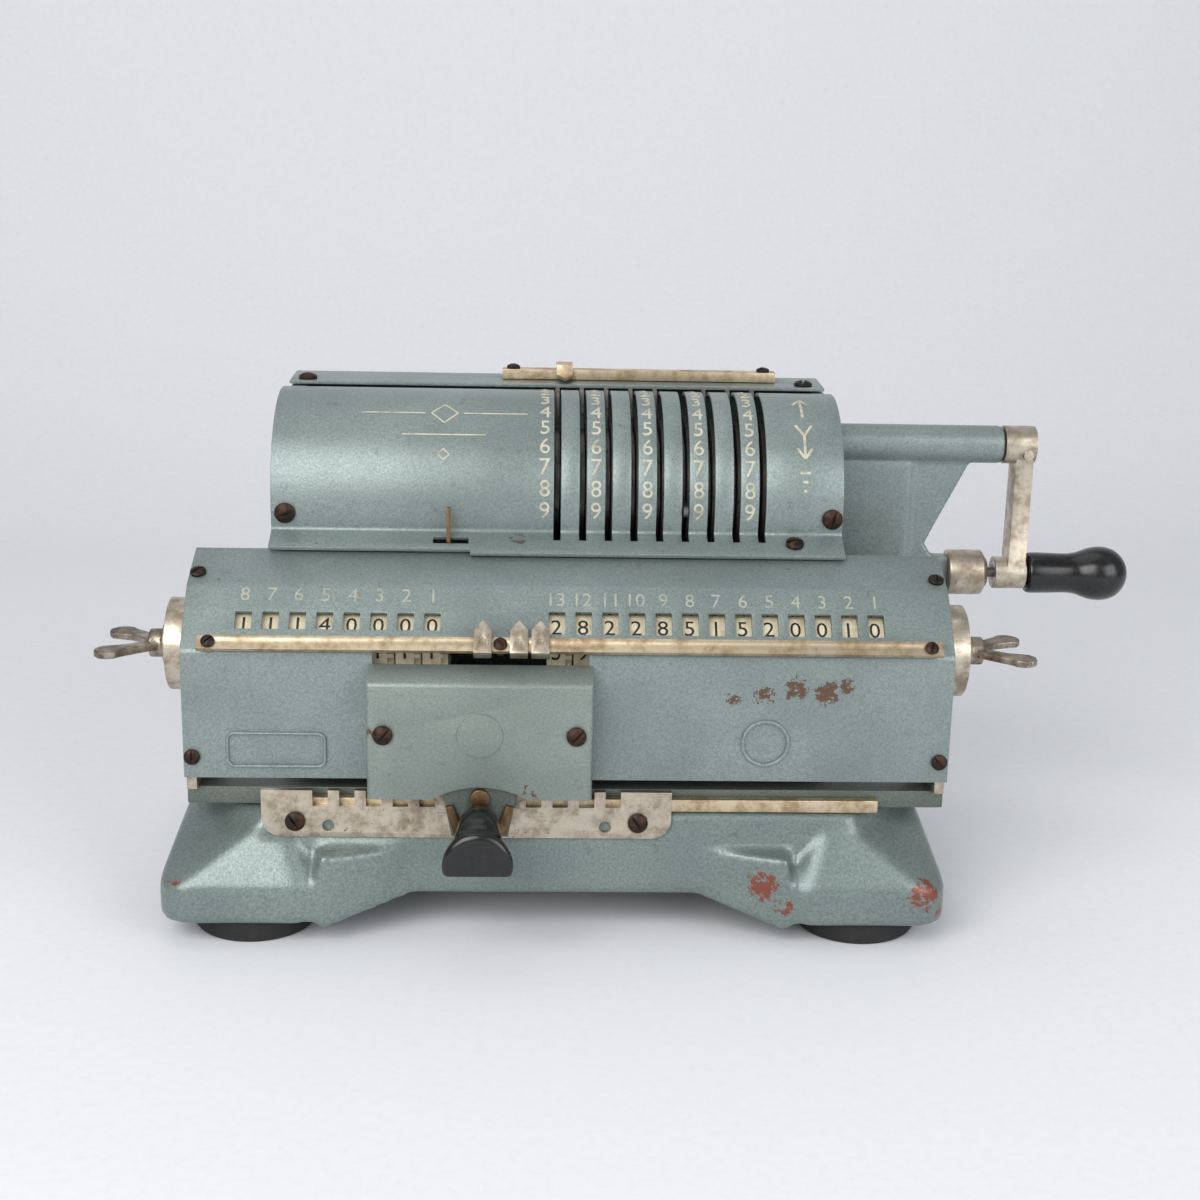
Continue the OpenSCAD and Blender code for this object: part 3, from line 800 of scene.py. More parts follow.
class Surface(Enum):
    """Every finish of the machine, built once."""

    # Grey-green hammertone on the pressed covers: dull, finely mottled, chipped on the front
    COVER = HammeredEnamel(
        "hammered_enamel_covers", "#727f7d", "#8e9a97", "#5d6967", 0.42, 0.38,
        (Wear(49, -69.5, -47, 6, 1.0), Wear(40, -69.5, -46, 6, 0.9), Wear(30, -69.5, -48, 5, 0.8),
         Wear(55, -69.5, -45, 4, 0.9), Wear(21, -69.5, -50, 4, 0.7),
         Wear(-106, -39, -9.5, 2.4, 1.0),
         Wear(-44, -35, -8, 5, 0.6)),
    )
    # The same paint, thicker and glossier, on the iron base, with red primer at the toes
    BASE = HammeredEnamel(
        "hammered_enamel_base", "#6a7775", "#87948f", "#536160", 0.5, 0.32,
        (Wear(80, -79, -108, 8, 0.9), Wear(31, -78, -106, 8, 1.0), Wear(82, -74, -114, 7, 1.0),
         Wear(38, -79, -112, 5, 0.8), Wear(-146, -77, -104, 5, 0.5)),
        "#7d4334",
    )
    # A greener, flatter coat on the lever cover
    LEVER_COVER = HammeredEnamel(
        "hammered_enamel_lever_cover", "#77827d", "#8f9992", "#616b66", 0.42, 0.42,
        (Wear(-86, -79, -58, 3, 0.7), Wear(-40, -79.5, -77, 6, 0.5)),
    )
    # Dirty, rubbed paint on the slide plate under the carriage
    SLIDE_PLATE = HammeredEnamel(
        "worn_enamel_slide_plate", "#525b55", "#6d756c", "#393f3a", 0.45, 0.46
    )
    # Satin nickel on the small fittings: beige-grey with brown specks
    NICKEL = WornPlate("worn_nickel_plate", "#c6bcab", "#948775", 0.33, 0.62)
    # Nickel worn through to its warm brassy undercoat on the long rails
    RAIL = WornPlate("worn_nickel_rail", "#d6c5a8", "#a08a6c", 0.36, 0.64)
    # Speckled and darker on the wing nuts, which are turned by hand
    WING = WornPlate("worn_nickel_wing_nuts", "#a69c8e", "#6c6155", 0.38, 0.56)
    # Oiled steel inside the machine: grey with a thin brown film
    STEEL = DarkMetal("oiled_steel", "#6d6a66", "#3c2f26", 0.2, 0.35)
    # Browned screw heads: nearly black, with patches of rust
    SCREW = DarkMetal("browned_screw_steel", "#2b2623", "#5a3a28", 0.5, 0.42)
    # Black phenolic on grip and key: deep, with a soft handled shine
    BAKELITE = Moulded("polished_bakelite", "#080809", "#151413", 0.24, 1.2, 0.02, 0.2)
    # Black rubber feet: matt and slightly grey with dust
    RUBBER = Moulded("moulded_rubber", "#141414", "#2a2927", 0.62, 0.8, 0.06)
    # Cream number wheels: aged ivory colour, duller where handled
    WHEEL = Moulded("cream_celluloid_wheel", "#dad0b4", "#b9aa86", 0.45, 1.6, 0.02)
    # Cream paint in the digits: dirty and partly rubbed off
    NUMERAL = Moulded("cream_filled_numerals", "#bfbba8", "#8a8873", 0.55, 0.6, 0.03)
    # The same cream on the small place numbers, worn nearly to the paint
    FAINT = Moulded("rubbed_place_numbers", "#a3a496", "#7f867c", 0.55, 0.6, 0.03)
    # Black printing ink on the wheels
    INK = Moulded("black_printed_digits", "#141310", "#2b2822", 0.5, 0.6, 0.02)
    # Brass gone brown on the roller, the strips and the clearing lever
    BRASS = WornPlate("tarnished_brass", "#7c6547", "#54422f", 0.38, 0.62)
    # White paper sweep
    BACKDROP = Moulded("matt_paper_backdrop", "#e6e7ea", "#e2e3e7", 0.8, 2.0, 0.01)


_BUILT: dict[Surface, bpy.types.Material] = {}


def material_of(surface: Surface) -> bpy.types.Material:
    """Return a finish's material, built on first use."""
    if surface not in _BUILT:
        _BUILT[surface] = surface.value.build()
    return _BUILT[surface]


def keep(piece: bpy.types.Object, name: str, body: str, surface: Surface,
         replaces: Sequence[str] = ()) -> bpy.types.Object:
    """Name and dress a finished piece and tie it to its body.

    Args:
        piece: The finished piece, settled.
        name: Its name.
        body: The CAD body that it moves with.
        surface: Its finish.
        replaces: CAD nodes that it stands for.

    Returns:
        The same piece.
    """
    release()
    piece.name = name
    piece.data.name = name
    piece.data.materials.clear()
    piece.data.materials.append(material_of(surface))
    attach(piece, body)
    if replaces:
        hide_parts(*replaces)
    LOG.info("%s: %d faces on %s", name, len(piece.data.polygons), body)
    return piece


def dress(node: str, surface: Surface) -> None:
    """Give a CAD node that stays its finish."""
    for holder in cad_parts[node].material_slots:
        holder.material = material_of(surface)


# ---------------------------------------------------------------- the machine


def remove(*pieces: bpy.types.Object) -> None:
    """Delete patterns that were only there to be copied."""
    for piece in pieces:
        bpy.data.objects.remove(piece)


def place_of(point: Vector) -> Vector:
    """Return a place in the frame as millimetres from the machine's centre."""
    return (point - CENTRE) / MM


@dataclass
class DrumCover:
    """The pressed drum cover: a round sheet with nine setting slots and a lip at the front."""

    radius: float = 32.4
    left: float = -120.6
    right: float = 57.4
    bend: float = -13.0
    rear: float = 111.0
    lip_tilt: float = 25.0
    lip: float = 9.2
    lip_more: float = 1.8
    step_x: float = -58.7
    slots: int = 9
    pitch: float = 8.0
    slot: float = 2.2
    slot_foot: float = 4.02
    sheet: float = 1.2
    digit_step: float = 12.05
    nine_angle: float = -0.3
    lever_slot: tuple[float, float, float, float] = (-70.3, -59.4, 3.12, 6.2)

    def on_round(self, angle: float) -> tuple[float, float]:
        """Return the point of the round part at an angle above the front, as (Y, Z)."""
        turn = math.radians(angle)
        return -self.radius * math.cos(turn), self.radius * math.sin(turn)

    def lip_run(self) -> Vector:
        """Return the direction in which the lip runs out, as (0, Y, Z)."""
        tilt = math.radians(self.lip_tilt)
        return Vector((0, -math.cos(tilt), -math.sin(tilt)))

    def on_lip(self, reach: float) -> tuple[float, float]:
        """Return the point of the lip this far from the bend, as (Y, Z)."""
        foot = self.on_round(self.bend)
        run = self.lip_run() * reach
        return foot[0] + run.y, foot[1] + run.z

    def reach_of(self, point: Vector) -> float:
        """Return how far along the lip a place is, in millimetres from the bend."""
        return (place_of(point) - Vector((0, *self.on_round(self.bend)))).dot(self.lip_run())

    def slot_x(self) -> list[float]:
        """Return the middles of the setting slots."""
        return [self.pitch * (i - (self.slots - 1) / 2) for i in range(self.slots)]

    def build(self) -> None:
        """Bend the sheet, cut its slots and give it its thickness."""
        steps = 62
        span_angle = self.rear - self.bend
        arc = [self.on_round(self.bend + span_angle * i / steps) for i in range(steps + 1)]
        piece = strip(self.left, self.right, [self.on_lip(self.lip), *arc])
        round_bend(piece, arc[0], 1.0)
        edit(piece)
        left, right, near, far = self.lever_slot
        edges = [x + side * self.slot / 2 for x in self.slot_x() for side in (-1, 1)]
        for x in (*edges, left, right, self.step_x):
            slice_at(piece, at(x, 0, 0), (1, 0, 0))
        for reach in (near, self.slot_foot, far):
            slice_at(piece, at(0, *self.on_lip(reach)), self.lip_run())

        def is_open(face: bmesh.types.BMFace) -> bool:
            """Say whether a face lies in a setting slot or in the clearing lever's slot."""
            middle = face.calc_center_median()
            x = place_of(middle).x
            reach = self.reach_of(middle)
            in_slot = any(abs(x - s) < self.slot / 2 for s in self.slot_x())
            return (in_slot and reach < self.slot_foot) or (
                left < x < right and near < reach < far
            )

        pick(piece, "faces", is_open)
        bpy.ops.mesh.delete(type="FACE")

        def is_long_end(edge: bmesh.types.BMEdge) -> bool:
            """Say whether an edge is on the end of the lip, right of its step."""
            return all(
                self.reach_of(v.co) > self.lip - 0.01 and place_of(v.co).x > self.step_x - 0.01
                for v in edge.verts
            )

        pick(piece, "edges", is_long_end)
        step = self.lip_run() * self.lip_more * MM
        bpy.ops.mesh.extrude_edges_move(TRANSFORM_OT_translate={"value": step})
        bpy.ops.object.mode_set(mode="OBJECT")
        thicken(piece, (0, 0), self.sheet)
        soften(piece, 0.22, 2, 50)
        keep(piece, "drum_cover_pressed", "frame", Surface.COVER, ["drum_cover"])
        self.number()
        self.ornament()

    def number(self) -> None:
        """Raise the cream digits 0 to 9 beside every second slot."""
        digits = [glyph(str(d), 5.2, 0.3) for d in range(10)]
        marks = []
        for x in (-36, -20, -4, 12, 28):
            for value, pattern in enumerate(digits):
                angle = min(self.nine_angle + self.digit_step * (9 - value), 105.6)
                marks.append(wrap(twin(pattern), x, (0, 0), self.radius, angle))
        remove(*digits)
        keep(merged(marks), "drum_digits", "frame", Surface.NUMERAL)

    def ornament(self) -> None:
        """Raise the turning arrows at the right and a plain ruled ornament at the left."""
        thick, fine, high = 0.85, 0.5, 0.3
        marks = [
            (45.3, 67.5, [((0, -5.2), (0, 5)), ((-2.4, 1.6), (0, 5)), ((2.4, 1.6), (0, 5))]),
            (45.3, 40.5, [((-2.6, 6.4), (0, 2.2)), ((2.6, 6.4), (0, 2.2)), ((0, 2.2), (0, -5.8)),
                          ((-2.4, -2.4), (0, -5.8)), ((2.4, -2.4), (0, -5.8))]),
            (45.3, 22.0, [((-1.7, 0), (1.7, 0))]),
            (45.3, 17.0, [((-0.8, 0), (0.8, 0))]),
            (45.3, 12.0, [((-0.5, 0), (0.5, 0))]),
        ]
        rules = [
            (-67.5, 57.5, [((-26, 0), (-6, 0)), ((6, 0), (26, 0)),
                           ((-4.2, 0), (0, 4.2)), ((0, 4.2), (4.2, 0)),
                           ((4.2, 0), (0, -4.2)), ((0, -4.2), (-4.2, 0))]),
            (-67.5, 42.0, [((-13, 0), (13, 0))]),
            (-67.5, 30.0, [((-1.8, 0), (0, 1.8)), ((0, 1.8), (1.8, 0)),
                           ((1.8, 0), (0, -1.8)), ((0, -1.8), (-1.8, 0))]),
        ]
        groups = (("turning_arrows", marks, thick), ("ruled_ornament", rules, fine))
        for name, group, width in groups:
            pieces = [
                wrap(stroke(a, b, width, high), x, (0, 0), self.radius, angle)
                for x, angle, lines in group
                for a, b in lines
            ]
            keep(merged(pieces), name, "frame", Surface.NUMERAL)


@dataclass
class CarriageCover:
    """The carriage's bent cover, with its windows, its cut-out and its pressed beads."""

    left: float = -142.9
    right: float = 87.0
    line: Line = ((-37, -12.2), (-54, -19.4), (-69.5, -36), (-69.5, -75.3))
    sheet: float = 1.2
    pitch: float = 8.0
    result_x: float = -32.0
    result_places: int = 13
    counter_x: float = -125.1
    counter_places: int = 8
    window_share: float = 0.53
    window: float = 4.9
    result_high: float = 7.6
    counter_high: float = 5.7
    face_tilt: float = 47.0
    lever_x: float = -54.4
    cut_half: float = 32.0
    cut_z: tuple[float, float] = (-66.0, -35.2)

    def window_middle(self) -> tuple[float, float]:
        """Return the middle of the row of windows, as (Y, Z)."""
        upper, lower = Vector(self.line[1]), Vector(self.line[2])
        middle = upper.lerp(lower, self.window_share)
        return middle.x, middle.y

    def face_run(self) -> Vector:
        """Return the direction down the window face, as (0, Y, Z)."""
        run = Vector(self.line[2]) - Vector(self.line[1])
        return Vector((0, *run.normalized()))

    def build(self) -> None:
        """Bend the sheet, cut its openings and give it its thickness."""
        piece = strip(self.left, self.right, self.line)
        for bend in self.line[1:3]:
            round_bend(piece, bend, 1.0)
        middle, run = Vector((0, *self.window_middle())), self.face_run()
        rows = [(self.result_x + self.pitch * i, self.result_high)
                for i in range(self.result_places)]
        rows += [(self.counter_x + self.pitch * i, self.counter_high)
                 for i in range(self.counter_places)]
        edit(piece)
        for x, _ in rows:
            for side in (-1, 1):
                slice_at(piece, at(x + side * self.window / 2, 0, 0), (1, 0, 0))
        for side in (-1, 1):
            slice_at(piece, at(self.lever_x + side * self.cut_half, 0, 0), (1, 0, 0))
            for high in (self.result_high, self.counter_high):
                slice_at(piece, at(*(middle + run * side * high / 2)), run)
        for z in self.cut_z:
            slice_at(piece, at(0, 0, z), (0, 0, 1))

        def is_open(face: bmesh.types.BMFace) -> bool:
            """Say whether a face lies in a window or in the shift lever's cut-out."""
            place = place_of(face.calc_center_median())
            down = (place - middle).dot(run)
            on_face = self.line[2][1] < place.z < self.line[1][1]
            in_window = on_face and any(
                abs(place.x - x) < self.window / 2 and abs(down) < high / 2 for x, high in rows
            )
            low, top = self.cut_z
            return in_window or (
                abs(place.x - self.lever_x) < self.cut_half and low < place.z < top
            )

        pick(piece, "faces", is_open)
        bpy.ops.mesh.delete(type="FACE")
        bpy.ops.object.mode_set(mode="OBJECT")
        thicken(piece, (-50, -50), self.sheet)
        soften(piece, 0.2, 2, 50)
        keep(piece, "carriage_cover_pressed", "carriage", Surface.COVER,
             ["carriage_cover"])
        self.number(middle, run)
        self.beads()

    def number(self, middle: Vector, run: Vector) -> None:
        """Raise the cream place numbers above both rows of windows."""
        marks = []
        result_up, counter_up = 7.9, 8.7
        rows = [(self.result_x, self.result_places, result_up),
                (self.counter_x, self.counter_places, counter_up)]
        for first, places, up in rows:
            spot = middle - run * up
            for i in range(places):
                mark = glyph(str(places - i), 4.4, 0.3)
                marks.append(lay(mark, first + self.pitch * i, spot.y, spot.z, self.face_tilt))
        keep(merged(marks), "place_numbers", "carriage", Surface.FAINT)

    def beads(self) -> None:
        """Press a blank label outline at the left and a plain ring at the right."""
        front = self.line[2][0]
        release()
        bpy.ops.mesh.primitive_plane_add(
            size=1, location=at(-115.2, front, -66.2), rotation=(math.pi / 2, 0, 0)
        )
        label = bpy.context.object
        label.scale = (29.8 * MM, 11.2 * MM, 1)
        settle(label)
        edit(label)
        bpy.ops.mesh.bevel(offset=2.6 * MM, segments=6, affect="VERTICES")
        self.ring_out(label, 0.9)
        keep(label, "blank_label_bead", "carriage", Surface.COVER)
        release()
        bpy.ops.mesh.primitive_circle_add(
            vertices=48, radius=7.4 * MM, fill_type="NGON", location=at(31, front, -63),
            rotation=(math.pi / 2, 0, 0),
        )
        ring = settle(bpy.context.object)
        edit(ring)
        self.ring_out(ring, 1.1)
        keep(ring, "plain_ring_bead", "carriage", Surface.COVER)

    def ring_out(self, piece: bpy.types.Object, width: float) -> None:
        """Leave only the rim of a flat face and raise it from the sheet.

        Args:
            piece: The flat piece, in edit mode.
            width: The rim's width in millimetres.
        """
        bpy.ops.mesh.select_all(action="SELECT")
        bpy.ops.mesh.inset(thickness=width * MM)
        bpy.ops.mesh.delete(type="FACE")
        bpy.ops.object.mode_set(mode="OBJECT")
        modify(piece, "SOLIDIFY", thickness=1.9 * MM, offset=0)
        soften(piece, 0.4, 3)


@dataclass
class Carriage:
    """What sits on the carriage: end plates, rails, markers, screws, lever cover and nuts."""

    front: float = -79.5
    cover_top: float = -42.4
    lever_x: float = -54.4
    cover_half: float = 33.2

    def build(self) -> None:
        """Build the cover and everything on it."""
        CarriageCover().build()
        self.lever_cover()
        parts = [
            ("carriage_end_plates", "end_plates_plated", 0.4, "nickel", Surface.NICKEL),
            ("carriage_base_plate", "base_plate_blackened", 0.4, "dark_steel", Surface.SLIDE_PLATE),
            ("marker_rail", "marker_rail_plated", 0.3, "nickel", Surface.RAIL),
            ("carriage_screws", "carriage_screws_browned", 0.15, "screws", Surface.SCREW),
        ]
        for node, name, edge, slot, surface in parts:
            keep(machined(node, edge), name, "carriage", surface, [node])
        for number in (1, 2, 3):
            node = f"decimal_marker_{number}"
            keep(machined(node, 0.25), node + "_plated", f"marker_{number}",
                 Surface.NICKEL, [node])
        nuts = {"result_clear_nut": "result_nut", "counter_clear_nut": "counter_nut"}
        for node, body in nuts.items():
            keep(cast(node, 0.4, 6), node + "_cast", body, Surface.WING, [node])
        dress("register_shaft", Surface.STEEL)

    def lever_cover(self) -> None:
        """Round the folded corners of the shift lever's cover."""
        piece = copy_of("lever_cover")
        edit(piece)
        bpy.ops.mesh.dissolve_limited(angle_limit=math.radians(0.4))

        def is_fold(edge: bmesh.types.BMEdge) -> bool:
            """Say whether an edge is one of the three folds round the front face."""
            ends = [place_of(v.co) for v in edge.verts]
            front = all(abs(p.y - self.front) < 0.02 for p in ends)
            top = all(abs(p.z - self.cover_top) < 0.05 for p in ends)
            side = all(abs(abs(p.x - self.lever_x) - self.cover_half) < 0.02 for p in ends)
            return front and (top or side)

        pick(piece, "edges", is_fold)
        bpy.ops.mesh.bevel(offset=1.3 * MM, segments=4, affect="EDGES")
        bpy.ops.object.mode_set(mode="OBJECT")
        soften(piece, 0.2, 2)
        keep(piece, "lever_cover_pressed", "carriage", Surface.LEVER_COVER,
             ["lever_cover"])


@dataclass
class Registers:
    """The number wheels of both registers, with ten printed digits on each."""

    axis: tuple[float, float] = (-52.0, -38.5)
    radius: float = 12.2
    shown: float = 44.5
    rim_middle: float = -0.15
    pitch: float = 8.0
    result_x: float = -32.0
    counter_x: float = -125.1
    result: tuple[int, ...] = (2, 8, 2, 2, 8, 5, 1, 5, 2, 0, 0, 1, 0)
    counter: tuple[int, ...] = (1, 1, 1, 4, 0, 0, 0, 0)

    def ring(self, digits: Sequence[bpy.types.Object], x: float, value: int) -> list:
        """Lay the digits round one wheel, with one of them in the window.

        Args:
            digits: The ten flat digits.
            x: The wheel's middle in millimetres.
            value: The digit that shows.

        Returns:
            The ten marks.
        """
        return [
            wrap(twin(pattern), x, self.axis, self.radius, self.shown - 36 * (digit - value))
            for digit, pattern in enumerate(digits)
        ]

    def build(self) -> None:
        """Print the digits on the wheels of both registers."""
        digits = [glyph(str(d), 5.0, 0.14) for d in range(10)]
        for place, value in enumerate(self.result):
            x = self.result_x + self.pitch * place + self.rim_middle
            marks = merged(self.ring(digits, x, value))
            number = place + 1
            keep(marks, f"result_digits_{number}", f"wheel_{number}", Surface.INK)
            dress(f"result_wheel_{number}", Surface.WHEEL)
        marks = []
        for place, value in enumerate(self.counter):
            x = self.counter_x + self.pitch * place + self.rim_middle
            marks += self.ring(digits, x, value)
        remove(*digits)
        keep(merged(marks), "counter_digits", "counter_wheels", Surface.INK)
        dress("counter_wheels", Surface.WHEEL)


@dataclass
class Body:
    """The iron base, the side frames, the rear cover and the fixed fittings."""

    middle: float = -31.6
    toe: tuple[float, float] = (71.0, 44.0)
    toe_front: float = -79.4
    wall_front: float = -70.5
    toe_low: float = -121.0
    wall_low: float = -112.5
    fillet_top: float = -97.0
    fillet_back: float = -66.0

    def fillet(self, side: int) -> bpy.types.Object:
        """Draw one front toe out along the front wall.

        Args:
            side: -1 for the left toe, 1 for the right one.

        Returns:
            The tapered solid, in object mode.
        """
        release()
        outer, inner = (self.middle + side * reach for reach in self.toe)
        centre = ((outer + inner) / 2, (self.toe_front + self.fillet_back) / 2,
                  (self.toe_low + self.fillet_top) / 2)
        bpy.ops.mesh.primitive_cube_add(size=1, location=at(*centre))
        piece = bpy.context.object
        size = (abs(outer - inner), self.fillet_back - self.toe_front,
                self.fillet_top - self.toe_low)
        piece.scale = Vector(size) * MM
        settle(piece)
        edit(piece)
        pick(piece, "faces", lambda f: side * f.normal.x < -0.8)
        deep = (self.fillet_back - self.wall_front) / size[1]
        high = (self.fillet_top - self.wall_low) / size[2]
        corner = at(inner, self.fillet_back, self.fillet_top)
        bpy.ops.transform.resize(value=(1, deep, high), center_override=corner)
        bpy.ops.object.mode_set(mode="OBJECT")
        return piece

    def build(self) -> None:
        """Build the castings, the sheets, the rails and the screws."""
        fillets = [self.fillet(side) for side in (-1, 1)]
        keep(cast("base_casting", 1.45, 10, fillets), "base_cast_iron", "frame",
             Surface.BASE, ["base_casting"])
        keep(cast("side_frame_right", 0.9, 3), "right_frame_cast", "frame",
             Surface.COVER, ["side_frame_right"])
        parts = [
            ("side_frame_left", "left_frame_plate", 0.5, "cover_paint", Surface.COVER),
            ("rear_cover", "rear_cover_pressed", 0.3, "cover_paint", Surface.COVER),
            ("rubber_feet", "rubber_feet_moulded", 0.5, "rubber", Surface.RUBBER),
            ("frame_screws", "frame_screws_browned", 0.15, "screws", Surface.SCREW),
            ("top_marker_rail", "top_rail_plated", 0.3, "nickel", Surface.RAIL),
            ("step_rack", "step_rack_plated", 0.25, "nickel", Surface.NICKEL),
            ("guide_rail", "guide_rail_plated", 0.3, "nickel", Surface.RAIL),
            ("crank_rest_bush", "rest_bush_plated", 0.4, "nickel", Surface.NICKEL),
        ]
        for node, name, edge, slot, surface in parts:
            keep(machined(node, edge), name, "frame", surface, [node])
        keep(machined("top_marker", 0.3), "top_marker_plated", "top_pointer",
             Surface.RAIL, ["top_marker"])
        keep(machined("slot_lever", 0.2), "slot_lever_brass", "slot_lever",
             Surface.BRASS, ["slot_lever"])
        dress("transfer_shaft", Surface.STEEL)
        for node in ("transfer_gears", "rotor_shaft", "rotor_gear", "pinwheels", "crank_gear"):
            dress(node, Surface.STEEL)
        dress("crank_shaft", Surface.STEEL)
        for number in range(1, 10):
            dress(f"setting_lever_{number}", Surface.STEEL)


@dataclass
class Crank:
    """The crank arm, its spring spindle and its turned black grip."""

    grip_z: float = -26.2
    profile: Line = (
        (124.9, 5.6), (125.3, 6.5), (126.1, 6.85), (129, 6.9), (134, 6.75), (138, 6.6),
        (141, 6.75), (143.4, 7.5), (145.8, 8.5), (148.4, 9.1), (151.1, 9.15), (153.7, 8.6),
        (156.1, 7.2), (158, 5.0), (159, 2.6), (159.2, 0.6),
    )

    def build(self) -> None:
        """Build the arm and the grip, and dress the spindle."""
        keep(machined("crank_arm", 0.6, 3), "crank_arm_plated", "crank",
             Surface.NICKEL, ["crank_arm"])
        grip = turned(self.profile, 0, self.grip_z)
        modify(grip, "SUBSURF", levels=2, render_levels=2)
        smooth(grip, 60)
        keep(grip, "grip_turned", "grip", Surface.BAKELITE, ["handle_grip"])
        dress("handle_spindle", Surface.STEEL)


@dataclass
class ShiftLever:
    """The carriage shift lever with its black key and its small brass roller."""

    x: float = -54.4
    key_radius: float = 10.4
    key_front: float = -98.0
    key_z: float = -92.0
    key_foot: float = -95.0
    stem_z: float = -84.5
    # Y, share of the key's size, and how far the section has moved up to the stem, 0 to 1
    sections: tuple[tuple[float, float, float], ...] = (
        (-97.7, 0.9, 0.0), (-96.9, 1.0, 0.0), (-95.8, 1.0, 0.02), (-94.6, 0.94, 0.12),
        (-93.4, 0.82, 0.36), (-92.0, 0.7, 0.7), (-90.0, 0.62, 0.95), (-77.6, 0.6, 1.0),
    )

    def build(self) -> None:
        """Build the lever, its key, its roller and its wear strips."""
        keep(machined("shift_lever", 0.5, 3), "shift_lever_cast", "shift",
             Surface.SLIDE_PLATE, ["shift_lever"])
        self.key()
        self.roller()
        self.strips()

    def key(self) -> None:
        """Draw the key out from its half-round front to its stem."""
        release()
        bpy.ops.mesh.primitive_circle_add(
            vertices=32, radius=self.key_radius * MM, fill_type="NGON",
            location=at(self.x, self.key_front, self.key_z), rotation=(math.pi / 2, 0, 0),
        )
        piece = settle(bpy.context.object)
        edit(piece)
        foot = at(self.x, self.key_front, self.key_foot)
        pick(piece, "verts", lambda v: v.co.z < foot.z)
        bpy.ops.transform.resize(value=(1, 1, 0), center_override=foot)
        bpy.ops.mesh.select_mode(type="FACE")
        bpy.ops.mesh.select_all(action="SELECT")
        start = at(self.x, self.key_front, self.key_z)
        bpy.ops.transform.resize(value=(0.8, 1, 0.8), center_override=start)
        y, size, z = self.key_front, 0.8, self.key_z
        for y_new, share, lift in self.sections:
            z_new = self.key_z + (self.stem_z - self.key_z) * lift
            step = Vector((0, y_new - y, z_new - z)) * MM
            bpy.ops.mesh.extrude_region_move(TRANSFORM_OT_translate={"value": step})
            factor = share / size
            middle = at(self.x, y_new, z_new)
            bpy.ops.transform.resize(value=(factor, 1, factor), center_override=middle)
            y, size, z = y_new, share, z_new
        bpy.ops.mesh.select_all(action="SELECT")
        bpy.ops.mesh.normals_make_consistent(inside=False)
        bpy.ops.object.mode_set(mode="OBJECT")
        modify(piece, "SUBSURF", levels=2, render_levels=2)
        smooth(piece, 60)
        keep(piece, "shift_key_moulded", "shift", Surface.BAKELITE,
             ["shift_knob"])

    def roller(self) -> None:
        """Turn the brass roller that shows under the cover's arch."""
        release()
        bpy.ops.mesh.primitive_cylinder_add(
            vertices=40, radius=2.9 * MM, depth=1.5 * MM, location=at(self.x, -78.4, -78.0),
            rotation=(math.pi / 2, 0, 0),
        )
        piece = settle(bpy.context.object)
        soften(piece, 0.35, 3)
        keep(piece, "lever_roller_brass", "shift", Surface.BRASS)

    def strips(self) -> None:
        """Shape the two brass wear strips beside the key's stem, each a tilted block that widens at
        its foot.
        """
        for name, side in (("left", -1), ("right", 1)):
            release()
            bpy.ops.mesh.primitive_cube_add(
                size=1, location=at(self.x + side * 8.0, -78.2, -85.0),
                rotation=(0, side * math.radians(12), 0),
            )
            piece = bpy.context.object
            piece.scale = (2.2 * MM, 1.4 * MM, 9.5 * MM)
            settle(piece)
            edit(piece)
            pick(piece, "faces", lambda f: f.normal.z < -0.8)
            bpy.ops.transform.resize(
                value=(1.5, 1, 1), center_override=at(self.x + side * 9.2, -78.2, -89.7)
            )
            bpy.ops.object.mode_set(mode="OBJECT")
            soften(piece, 0.3, 2)
            keep(piece, f"wear_strip_{name}", "shift", Surface.BRASS)


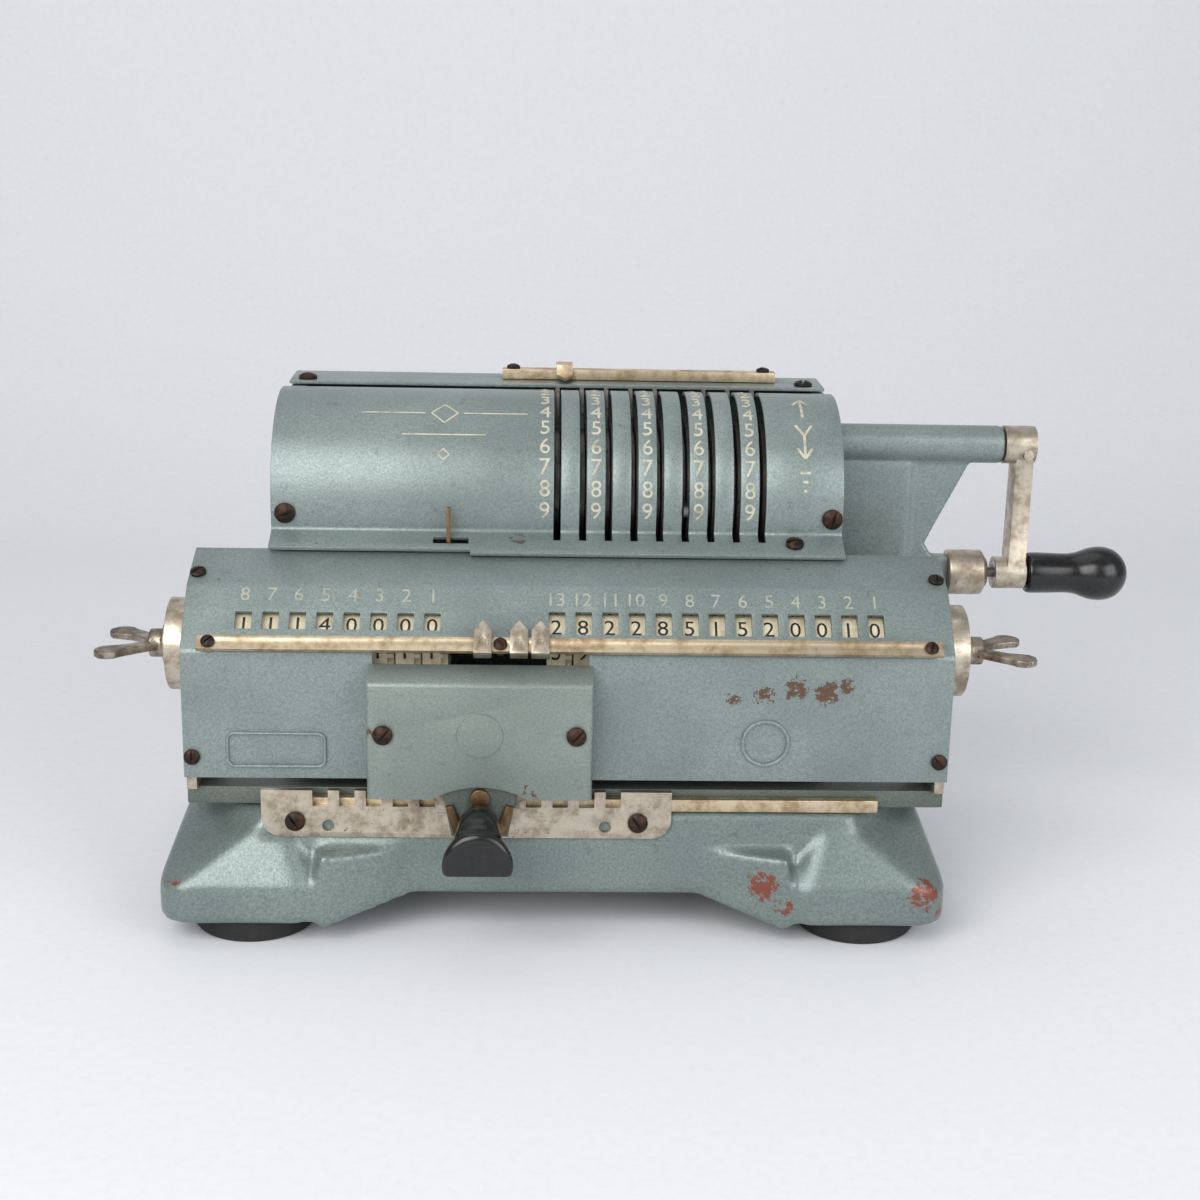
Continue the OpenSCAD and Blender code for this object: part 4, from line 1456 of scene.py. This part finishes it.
@dataclass
class Studio:
    """The paper sweep, the soft lights and the camera."""

    camera: tuple[float, float, float] = (-39.2, -580.2, 115.2)
    yaw: float = 2.2
    pitch: float = 14.72
    roll: float = 1.18
    lens: float = 54.0
    floor: float = -126.0
    curve: float = 420.0
    sweep_half: float = 2600.0
    sweep_front: float = 1500.0
    sweep_top: float = 2400.0

    def build(self) -> None:
        """Set up the sweep, the lights and the camera."""
        turns = [math.radians(a) for a in range(0, 91, 6)]
        bend = [(self.curve * (1 + math.sin(t)), self.floor + self.curve * (1 - math.cos(t)))
                for t in turns]
        line = [(-self.sweep_front, self.floor), *bend, (2 * self.curve, self.sweep_top)]
        sweep = strip(-self.sweep_half, self.sweep_half, line)
        smooth(sweep, 60)
        sweep.name = "paper_sweep"
        sweep.data.materials.append(material_of(Surface.BACKDROP))
        self.light("key", (-560, -950, 620), 900, 12.5, (1.0, 0.99, 0.98))
        self.light("fill", (760, -850, 420), 800, 6.5, (0.97, 0.98, 1.0))
        self.light("top", (-150, 100, 1100), 900, 2.0, (1.0, 1.0, 1.0))
        world = bpy.data.worlds.new("soft_room")
        world.use_nodes = True
        world.node_tree.nodes["Background"].inputs["Color"].default_value = linear("#eef1f5")
        world.node_tree.nodes["Background"].inputs["Strength"].default_value = 0.38
        bpy.context.scene.world = world
        bpy.context.scene.view_settings.view_transform = "Standard"
        self.shoot()

    def light(self, name: str, place: tuple[float, float, float], size: float, power: float,
              colour: tuple[float, float, float]) -> None:
        """Add one soft square light that faces the machine.

        Args:
            name: Its name.
            place: Its place in millimetres.
            size: Its side in millimetres.
            power: Its power in watts.
            colour: Its linear colour.
        """
        data = bpy.data.lights.new(name, "AREA")
        data.size = size * MM
        data.energy = power
        data.color = colour
        lamp = bpy.data.objects.new(name, data)
        bpy.context.scene.collection.objects.link(lamp)
        lamp.location = at(*place)
        aim = at(-31, -20, -50) - lamp.location
        lamp.rotation_euler = aim.to_track_quat("-Z", "Y").to_euler()

    def shoot(self) -> None:
        """Set the camera at its place, turned and leaning as on its stand."""
        yaw, pitch, roll = (math.radians(v) for v in (self.yaw, self.pitch, self.roll))
        level = Vector((math.sin(yaw), math.cos(yaw), 0))
        side = Vector((math.cos(yaw), -math.sin(yaw), 0))
        ahead = level * math.cos(pitch) - Vector((0, 0, math.sin(pitch)))
        up = level * math.sin(pitch) + Vector((0, 0, math.cos(pitch)))
        right = side * math.cos(roll) + up * math.sin(roll)
        top = up * math.cos(roll) - side * math.sin(roll)
        turn = Matrix((right, top, -ahead)).transposed().to_4x4()
        data = bpy.data.cameras.new("camera")
        data.lens = self.lens
        data.sensor_width = 36
        data.clip_start = 0.01
        camera = bpy.data.objects.new("camera", data)
        bpy.context.scene.collection.objects.link(camera)
        camera.matrix_world = Matrix.Translation(at(*self.camera)) @ turn
        bpy.context.scene.camera = camera


def main() -> None:
    """Build every sub-assembly in order."""
    logging.basicConfig(level=logging.INFO, format="%(name)s: %(message)s")
    for part in (Body(), DrumCover(), Carriage(), Registers(), Crank(), ShiftLever(), Studio()):
        part.build()
        LOG.info("%s done", type(part).__name__)


if __name__ == "__main__":
    main()
